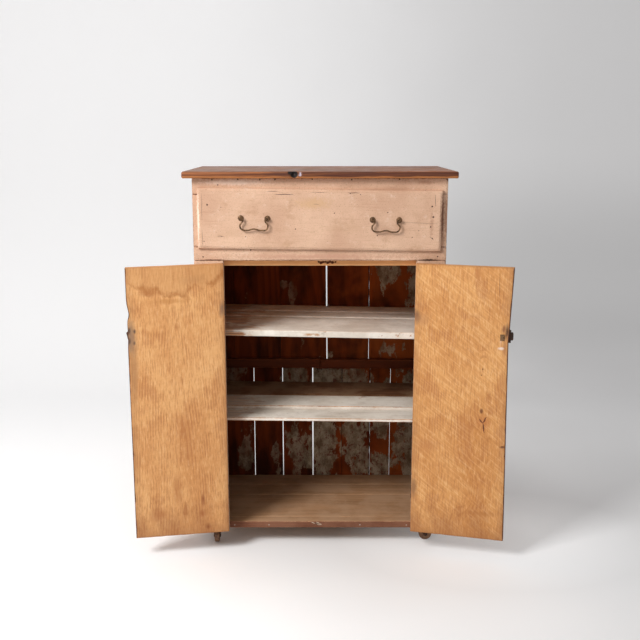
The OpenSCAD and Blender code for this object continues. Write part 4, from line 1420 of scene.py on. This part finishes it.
@dataclass
class Case:
    """Carcass: worktop, sides, face frame, dust board, back and floor."""

    bench: Bench
    rail_nails: tuple[tuple[float, float], ...] = (
        (-307, 1126), (-291, 1111), (-234, 1127), (-171, 1126), (-128, 1126), (-22, 1127),
        (90, 1126), (226, 1127),
    )
    stile_nails: tuple[tuple[float, float], ...] = (
        (-345, 872), (-340, 110), (-312, 700), (345, 872), (338, 120), (318, 640),
        (-338, 905), (340, 906), (-200, 925), (210, 924),
    )
    floor_nails: tuple[tuple[float, float], ...] = ((-265, 65), (-158, 65), (124, 65), (268, 64))
    # Joints of the back that dirt has packed: left side, width and fray in mm, tier
    packed: tuple[tuple[float, float, float, str], ...] = (
        (-293, 5, 0.0, "upper"), (-137, 5, 0.0, "upper"), (161.5, 4.8, 0.3, "upper"),
        (-231, 2.2, 0.1, "lower"), (-132.5, 2.4, 0.1, "lower"), (-29.5, 2.8, 0.1, "lower"),
        (73, 5.2, 0.9, "lower"), (169, 4.4, 0.9, "lower"), (240, 2.6, 0.2, "lower"),
    )

    def build(self) -> None:
        """Makes all boards of the case."""
        self._worktop()
        paint = Wear(arris=2 * MM)
        for node, inside in (
            ("side_left", AXES[0]), ("side_right", -AXES[0]),
            ("stile_left", BACK), ("stile_right", BACK),
        ):
            self.bench.boards(node, paint, other=(Look.INNER_SIDE, inside))
        for node in ("top_rail", "drawer_rail", "drawer_stiles"):
            self.bench.boards(node, Wear(arris=1.4 * MM))
        self._dust_board()
        worn = Wear(arris=2.2 * MM, margin=5 * MM)
        edge = (Look.FLOOR_EDGE, FRONT)
        self.bench.boards("floor_front_strip", worn, look=Look.FLOOR, other=edge)
        for node in ("floor_front_board", "floor_middle_board"):
            self.bench.boards(node, worn, look=Look.FLOOR)
        self.bench.boards("floor_back_board", look=Look.FLOOR)
        self.bench.boards("back_rail_top")
        for node in ("back_batten_left", "back_batten_right"):
            self.bench.boards(node, look=Look.RED_BATTEN)
        self.bench.boards("shelf_cleats", Wear(pitch=60 * MM))
        for node in ("back_boards_upper", "back_boards_lower"):
            wear = Wear(arris=0.6 * MM, margin=6 * MM, uneven=0.3 * MM)
            self.bench.boards(node, wear, other=(Look.WEATHERED, BACK))
        self._joint_dirt()
        self._nails()

    def _worktop(self) -> None:
        """Makes the top board with its lost knot and knocked front edge."""
        lo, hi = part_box("top_board")
        knot_x, knot_z = -0.073, hi[2] - 8 * MM
        chips = [
            Chip(Vector((knot_x, lo[1], knot_z)), 14 * MM, BACK * 12 * MM, 1.0),
            Chip(Vector((knot_x - 0.011, lo[1], hi[2] - 3 * MM)), 9 * MM, BACK * 4 * MM, 0.8),
            Chip(Vector((knot_x + 0.016, lo[1], hi[2] - 5 * MM)), 8 * MM, BACK * 3 * MM),
            Chip(Vector((0.2, lo[1], hi[2])), 14 * MM, BACK * 2 * MM),
            Chip(Vector((-0.31, lo[1], lo[2])), 12 * MM, BACK * 1.5 * MM),
            Chip(Vector((0.12, lo[1], lo[2])), 9 * MM, BACK * 1.5 * MM),
        ]
        start = knot_x - lo[0]
        dense = [start + i * 1.6 * MM for i in range(-14, 17)]
        self.bench.boards(
            "top_board",
            Wear(arris=5 * MM, margin=12 * MM, uneven=1.2 * MM),
            chips,
            extra=((), [i * 2 * MM for i in range(2, 10)], dense),
        )

    def _dust_board(self) -> None:
        """Makes the dust board, whose bare front edge is chipped away in the middle."""
        lo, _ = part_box("dust_board")
        # From the board's left end to the middle of the cabinet
        centre = 0.343
        chips = [
            Chip(Vector((x * MM, lo[1], lo[2] + z * MM)), r * MM, BACK * 3 * MM, 0.7)
            for x, z, r in (
                (-4, 12, 4), (3, 9, 6), (9, 11, 5), (16, 12, 4), (22, 9, 6), (29, 12, 5),
                (36, 10, 6), (45, 11, 4), (54, 12, 3),
            )
        ]
        dense = [centre + x * MM for x in range(-30, 48, 2)]
        self.bench.boards(
            "dust_board", Wear(arris=1.2 * MM), chips, Look.DUST_EDGE,
            ((), [i * 2.5 * MM for i in range(1, 9)], dense),
        )

    def _joint_dirt(self) -> None:
        """Packs dirt into the joints of the back boards, as thin ragged strips."""
        bm = bmesh.new()
        for left, width, fray, tier in self.packed:
            lo, hi = (Vector(c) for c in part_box("back_boards_" + tier))
            grid = bmesh.ops.create_grid(bm, x_segments=1, y_segments=90, size=0.5)["verts"]
            for v in grid:
                z = lo.z + (hi.z - lo.z) * (v.co.y + 0.5)
                reach = width + fray * 3 * noise.noise(Vector((left, 0, z * 40)))
                x = left + (reach if v.co.x > 0 else 0)
                v.co = Vector((x * MM, (lo.y + hi.y) / 2, z))
        obj = piece("joint_dirt", bm, [self.bench.looks[Look.JOINT_DIRT]])
        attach(obj, self.bench.body["back_boards_upper"])

    def _nails(self) -> None:
        """Sets the cut nails of the face frame and the floor, and the floor's scrape."""
        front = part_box("top_rail")[0][1]
        for node, places in (("top_rail", self.rail_nails), ("stile_left", self.stile_nails)):
            spots = [(x * MM, front, z * MM, 2.2 * MM) for x, z in places]
            self.bench.heads(node + "_nails", node, spots, FRONT, Look.NAIL)
        strip = "floor_front_strip"
        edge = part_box(strip)[0][1]
        spots = [(x * MM, edge, z * MM, 2.6 * MM) for x, z in self.floor_nails]
        self.bench.heads("floor_nails", strip, spots, FRONT, Look.BRIGHT_NAIL)
        lines = [
            ((x * MM, edge, z * MM), ((x + w) * MM, edge, (z - 6) * MM))
            for x, z, w in ((-28, 73, 22), (-20, 71, 20), (-12, 74, 16), (-6, 70, 12))
        ]
        self.bench.crack("floor_scrape", strip, lines, FRONT, 2.6 * MM, Look.SCRAPE)


@dataclass
class Shelves:
    """The two plank shelves."""

    bench: Bench

    def build(self) -> None:
        """Makes the six boards."""
        for shelf in ("upper", "lower"):
            for row in ("front", "middle", "back"):
                node = f"{shelf}_shelf_{row}"
                bare = self.bench.slots[node] == Look.SHELF_PAINT.value and shelf == "lower"
                wear = Wear(arris=1.4 * MM, margin=4 * MM, uneven=0.9 * MM)
                self.bench.boards(node, wear, look=Look.BARE_SHELF if bare else None)


@dataclass
class Drawer:
    """Lipped drawer with its pulls."""

    bench: Bench
    radius: float = 8 * MM
    step: float = 1.2 * MM
    # Nail heads: across, height and radius in mm
    nails: tuple[tuple[float, float, float], ...] = (
        (-321, 1056, 3.0), (-282, 1049, 1.4), (-281, 966, 1.6), (-213, 965, 1.6),
        (-332, 952, 1.8), (-70, 987, 1.9), (319, 1051, 2.8), (323, 1021, 3.2),
        (316, 993, 2.6), (322, 960, 2.0), (264, 963, 1.7), (193, 1034, 2.0), (41, 1032, 2.0),
        (282, 982, 1.4), (164, 968, 2.0), (86, 1088, 1.8), (115, 1085, 1.6),
    )
    # Hairline cracks, and broken dark lines at the step round the lip's face, which stand for the
    # step's painted shadow line and the dirt in it: both ends and the width in mm
    cracks: tuple[tuple[tuple[float, float], tuple[float, float], float], ...] = (
        ((-129, 1085), (-75, 1085), 1.5), ((231, 1006), (338, 1002), 0.5),
        ((-295, 967), (-275, 966), 0.9), ((-152, 1094), (-118, 1094), 0.8),
        ((-28, 1091), (22, 1090), 0.7), ((78, 1090), (112, 1089), 1.1),
        ((-336, 1088), (-337, 1010), 0.6), ((-337, 985), (-337, 938), 0.7),
        ((-60, 927), (40, 926), 0.6), ((120, 925), (232, 924), 0.7),
        ((-300, 930), (-190, 928), 0.5), ((327, 1084), (329, 1050), 0.8),
        ((314, 966), (326, 955), 1.0), ((-20, 1058), (-2, 1057), 0.6),
    )

    def __post_init__(self) -> None:
        """Reads the drawer's slope from the axis of its bails."""
        axis = self.bench.joints["bail_left_swing"]["axis"]
        lo, hi = (Vector(c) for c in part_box("drawer_front"))
        slope = Matrix.Rotation(math.atan2(axis[2], -axis[0]), 4, "Y")
        middle = Matrix.Translation((lo + hi) / 2)
        self.tilt = middle @ slope @ middle.inverted()

    def build(self) -> None:
        """Makes the front, the box and the fittings."""
        self._front()
        for node in ("drawer_side_left", "drawer_side_right", "drawer_back", "drawer_bottom"):
            self.bench.boards(node, Wear(pitch=60 * MM))
        for node in ("bail_left", "bail_right"):
            self.bench.skin(node, 80)
        for node in ("pull_posts", "pull_nuts"):
            self.bench.skin(node, 40)

    def _front(self) -> None:
        """Makes the front: a lip rounded all round, on the core that fits the opening."""
        untilt = self.tilt.inverted()
        places = [untilt @ v.co for v in frame["nodes"]["drawer_front"].data.vertices]
        lo, hi = span(places)
        inner, outer = span(p for p in places if hi.x - p.x > 2 * MM and hi.y - p.y < CLOSE)
        # Of the outermost corners, those over 12 mm behind the face belong to the lip's back
        lip_back = min(p.y for p in places if hi.x - p.x < 0.1 * MM and p.y - lo.y > 12 * MM)
        joiner = Joiner(Wear(arris=0.8 * MM))
        joiner.merge(self._lip(lo, Vector((hi.x, lip_back, hi.z))))
        joiner.add(Block.box((inner[0], lip_back - 1 * MM, inner[2]), outer))
        bmesh.ops.transform(joiner.bm, matrix=self.tilt, verts=joiner.bm.verts)
        for f in joiner.bm.faces:
            f.material_index = int(f.calc_center_median().y > lip_back - 0.5 * MM)
        looks = [self.bench.looks[key] for key in (Look.PINK_PAINT, Look.BARE_PINE)]
        self.bench.dress(joiner.piece("drawer_front_worn", looks), "drawer_front")
        spots = [(x * MM, lo.y, z * MM, r * MM) for x, z, r in self.nails]
        self.bench.heads("drawer_nails", "drawer_front", spots, FRONT, Look.NAIL)
        # Dark lines: real cracks, and the painted shadow line of the step round the face
        for i, (*ends, width) in enumerate(self.cracks):
            lines = [[(x * MM, lo.y, z * MM) for x, z in ends]]
            self.bench.crack(f"drawer_crack_and_step_shadow_{i}", "drawer_front", lines, FRONT, width * MM)

    def _lip(self, lo: Vector, hi: Vector) -> bmesh.types.BMesh:
        """Makes the lip with its rounded edge and the small step round its face.

        Args:
            lo: Its lower left front corner, untilted.
            hi: Its upper right back corner.

        Returns:
            The worn lip.
        """
        lip = bmesh.new()
        step = BACK * self.step
        scale = Matrix.Diagonal((hi.x - lo.x, hi.y - lo.y - self.step, hi.z - lo.z, 1))
        move = Matrix.Translation(lo + step) @ scale @ Matrix.Translation((0.5, 0.5, 0.5))
        bmesh.ops.create_cube(lip, size=1, matrix=move)
        rim = [e for e in lip.edges if all(v.co.y < lo.y + self.step + 1 * MM for v in e.verts)]
        round_off(lip, rim, self.radius, 8)
        panel = min(lip.faces, key=lambda f: f.calc_center_median().y)
        bmesh.ops.inset_region(lip, faces=[panel], thickness=0.6 * MM)
        bmesh.ops.translate(lip, vec=-step, verts=panel.verts)
        # Cuts about 15 mm apart let the dents bend it
        for axis, count in ((0, 46), (2, 12)):
            for i in range(1, count):
                at = AXES[axis] * (lo[axis] + (hi[axis] - lo[axis]) * i / count)
                cut(lip, at, AXES[axis])
        self._age(lip, lo, hi)
        return lip

    def _age(self, lip: bmesh.types.BMesh, lo: Vector, hi: Vector) -> None:
        """Knocks and rubs the lip's rounded edge, and gives it its finish's attributes.

        Args:
            lip: The lip, untilted.
            lo: Its lower left front corner.
            hi: Its upper right corner.
        """
        layers = lip.verts.layers
        plank = layers.float_vector.new("plank")
        rub = layers.float.new("wear")
        layers.float.new("stain")
        for v in lip.verts:
            p = v.co.copy()
            v[plank] = Vector((p.z, p.y, p.x))
            edge = min(p.x - lo.x, hi.x - p.x, p.z - lo.z, hi.z - p.z)
            v[rub] = max(0.0, 0.6 - abs(edge) / self.radius)
            # Dents about 25 mm long, and knocks about 8 mm long
            dent = 0.5 * abs(noise.noise(p * 40)) + max(0.0, noise.noise(p * 120) - 0.2)
            inward = Vector((lo.x + hi.x - 2 * p.x, 0, lo.z + hi.z - 2 * p.z)).normalized()
            if p.y < lo.y + 12 * MM:
                v.co = p + (BACK + 0.3 * inward) * dent * v[rub] * 1.2 * MM


@dataclass
class Door:
    """One plank door, made closed and swung open with its hinge.

    Places on it are in millimetres: across from the line of its pins, and up from the ground.
    """

    bench: Bench
    side: str
    look: Look
    cracks: tuple[tuple[tuple[float, float], tuple[float, float], float], ...] = ()
    knocks: tuple[tuple[float, float, float, float, float], ...] = ()
    pin_line: float = 279.5

    def __post_init__(self) -> None:
        """Reads the hinge and the board's closed outline."""
        hinge = self.bench.joints[f"door_{self.side}_hinge"]
        pin = Matrix.Translation(Vector(hinge["pos_m"]))
        turn = Matrix.Rotation(math.radians(hinge["range_deg"][1]), 4, Vector(hinge["axis"]))
        to_closed = pin @ turn @ pin.inverted()
        self.to_open = to_closed.inverted()
        self.sign = 1 if self.side == "right" else -1
        self.node = f"door_{self.side}_board"
        places = [to_closed @ v.co for v in frame["nodes"][self.node].data.vertices]
        self.lo, self.hi = span(places)
        near = {(round(p.z, 4), round(abs(p.x), 4)) for p in places if abs(p.x) < 0.01}
        self.outline = sorted(near)
        self.free = min(x for _, x in self.outline)
        self.top_drop = self.hi.z - max(z for z, _ in self.outline)

    def build(self) -> None:
        """Makes the board with its painted outer face, bare inner face and dark free edge."""
        width = self.hi.x - self.lo.x
        near_free = [m * MM if self.side == "right" else width - m * MM for m in (3, 5, 7)]
        rows = [z - self.lo.z for z, _ in self.outline]
        chips = [
            Chip(self._inner(across, height), reach * MM, FRONT * depth * MM, dark)
            for across, height, reach, depth, dark in self.knocks
        ]
        wear = Wear(arris=1.8 * MM, margin=9 * MM, pitch=16 * MM, uneven=1.1 * MM)
        joiner = Joiner(wear, chips, self._shape, (near_free, (), rows))
        joiner.add(Block.box(self.lo, self.hi))
        bm = joiner.bm
        bmesh.ops.recalc_face_normals(bm, faces=bm.faces)
        stain = bm.verts.layers.float["stain"]
        for v in bm.verts:
            edge = abs(v.co.x) - self._edge(v.co.z)
            ragged = 5 * MM + 4 * MM * noise.noise(v.co * 60)
            # The inner face is dirty along the free edge
            if v.co.y > self.hi.y - 4 * MM:
                v[stain] = max(v[stain], min(1.0, max(0.0, 1 - edge / ragged)))
        for f in bm.faces:
            if f.normal.y < -0.5:
                f.material_index = 1
            elif abs(f.normal.x) > 0.7:
                f.material_index = 1 if abs(f.calc_center_median().x) > 0.2 else 2
        bmesh.ops.transform(bm, matrix=self.to_open, verts=bm.verts)
        keys = (self.look, Look.PINK_PAINT, Look.DOOR_EDGE)
        board = piece(self.node + "_worn", bm, [self.bench.looks[k] for k in keys])
        self.bench.dress(board, self.node)
        for i, (*ends, width) in enumerate(self.cracks):
            lines = [[self._inner(*end) for end in ends]]
            name, look = f"{self.node}_crack_{i}", Look.RESIN_CRACK
            self.bench.crack(name, self.node, lines, BACK, width * MM, look, self.to_open)

    def _inner(self, across: float, height: float) -> Vector:
        """Returns a place on the closed board's inner face, from millimetres."""
        return Vector((self.sign * (self.pin_line - across) * MM, self.hi.y, height * MM))

    def _shape(self, p: Vector) -> Vector:
        """Bends the board's outline to its worn free edge and sagging top.

        Args:
            p: Place on the straight board.

        Returns:
            Its place on the bent one.
        """
        share = (self.hi.x - p.x) if self.side == "right" else (p.x - self.lo.x)
        share = max(0.0, min(1.0, share / (self.hi.x - self.lo.x)))
        high = max(0.0, (p.z - self.lo.z) / (self.hi.z - self.lo.z))
        p.z -= self.top_drop * share * high
        worn = self._edge(p.z) - self.free
        p.x += self.sign * worn * max(0.0, 1 - (abs(p.x) - self.free) / 0.03)
        return p

    def _edge(self, z: float) -> float:
        """Measures how far the free edge is from the middle of the cabinet.

        Args:
            z: Height above the ground.

        Returns:
            The distance.
        """
        for (z0, x0), (z1, x1) in zip(self.outline, self.outline[1:]):
            if z0 <= z <= z1 and z1 > z0:
                return x0 + (x1 - x0) * (z - z0) / (z1 - z0)
        return self.outline[-1][1] if z > self.outline[-1][0] else self.outline[0][1]


@dataclass
class Fittings:
    """Hinges, catch, casters and drawer runners."""

    bench: Bench

    def build(self) -> None:
        """Makes smooth skins for the fittings."""
        for node in (
            "frame_hinge_leaves", "hinge_pins", "door_left_leaves", "door_right_leaves",
            "catch_plate", "catch_case", "catch_knob", "catch_bolt", "catch_keeper",
            "caster_plates", "drawer_runner_left", "drawer_runner_right",
        ):
            self.bench.skin(node)
        for corner in ("front_left", "front_right", "back_left", "back_right"):
            self.bench.skin(f"caster_horn_{corner}")
            self.bench.skin(f"caster_wheel_{corner}")


@dataclass
class Studio:
    """Paper, light and camera, in metres."""

    looks: Paintbox
    half_width: float = 6.0
    front: float = -5.0
    back: float = 2.6
    height: float = 5.0
    bend: float = 1.2

    def build(self) -> None:
        """Sets up the stage."""
        self._paper()
        self._lights()
        self._camera()

    def _paper(self) -> None:
        """Lays the seamless paper: a floor whose back edge is drawn up to a wall."""
        bm = bmesh.new()
        bmesh.ops.create_grid(bm, x_segments=1, y_segments=1, size=1)
        for v in bm.verts:
            v.co = (self.half_width * v.co.x, self.front if v.co.y < 0 else self.back, 0)
        rear = [e for e in bm.edges if all(v.co.y > 0 for v in e.verts)]
        wall = bmesh.ops.extrude_edge_only(bm, edges=rear)["geom"]
        top = [v for v in wall if isinstance(v, bmesh.types.BMVert)]
        bmesh.ops.translate(bm, vec=AXES[2] * self.height, verts=top)
        round_off(bm, rear, self.bend, 16)
        bmesh.ops.recalc_face_normals(bm, faces=bm.faces)
        if sum(f.normal.z for f in bm.faces) < 0:
            bmesh.ops.reverse_faces(bm, faces=bm.faces)
        piece("studio_paper", bm, [self.looks[Look.PAPER]])

    @staticmethod
    def _lights() -> None:
        """Hangs a soft key light to the left, and an even fill all round."""
        way = Vector((
            -math.sin(KEY_TURN) * math.cos(KEY_RISE),
            -math.cos(KEY_TURN) * math.cos(KEY_RISE),
            math.sin(KEY_RISE),
        ))
        data = bpy.data.lights.new("window_light", "AREA")
        data.size, data.energy = KEY_SIZE, KEY_POWER
        obj = bpy.data.objects.new("window_light", data)
        obj.location = KEY_AIM + way * KEY_FAR
        obj.rotation_euler = (-way).to_track_quat("-Z", "Y").to_euler()
        bpy.context.scene.collection.objects.link(obj)
        world = bpy.data.worlds.new("even_fill")
        bpy.context.scene.world = world
        world.use_nodes = True
        tree = world.node_tree
        back = tree.nodes["Background"]
        back.inputs["Color"].default_value = linear(FILL_COLOUR)
        g = Graph.of(tree)
        way = g.add("SeparateXYZ", [g.add("TexCoord", out="Generated")], "X")
        fill = g.add("MapRange", [way, -0.8, 0.8, FILL_LEFT, FILL_RIGHT], **SMOOTH)
        strength = g.add("MapRange", [g.seen(), 0.0, 1.0, fill, SEEN])
        tree.links.new(strength, back.inputs["Strength"])

    @staticmethod
    def _camera() -> None:
        """Puts the camera at the photograph's viewpoint."""
        data = bpy.data.cameras.new("photograph")
        data.lens, data.sensor_width = CAMERA_LENS, CAMERA_SENSOR
        obj = bpy.data.objects.new("photograph", data)
        obj.location = CAMERA_AT
        obj.rotation_euler = (math.pi / 2 - CAMERA_DOWN, 0, 0)
        bpy.context.scene.collection.objects.link(obj)
        bpy.context.scene.camera = obj
        bpy.context.scene.view_settings.view_transform = "Standard"


def main() -> None:
    """Builds the looks."""
    logging.basicConfig(level=logging.INFO, format="%(message)s")
    looks = Paintbox()
    bench = Bench(looks)
    left = Door(
        bench,
        "left",
        Look.LEFT_DOOR,
        knocks=((268, 690, 26, 1.2, 0.0), (270, 750, 14, 1.5, 0.2)),
    )
    right = Door(
        bench,
        "right",
        Look.RIGHT_DOOR,
        cracks=(
            ((195.6, 440), (206, 429), 3.4), ((218.3, 447), (206, 429), 3.4),
            ((206, 431), (212, 399), 3.4), ((238.9, 871), (239.5, 794), 1.0),
            ((262, 363), (273, 359), 3.0),
        ),
        knocks=((266, 688, 22, 2.2, 0.2), (269, 361, 8, 1.5, 0.3)),
    )
    parts = (
        Case(bench), Shelves(bench), Drawer(bench), left, right, Fittings(bench), Studio(looks)
    )
    for part in parts:
        part.build()
    bpy.context.view_layer.update()


if __name__ == "__main__":
    main()
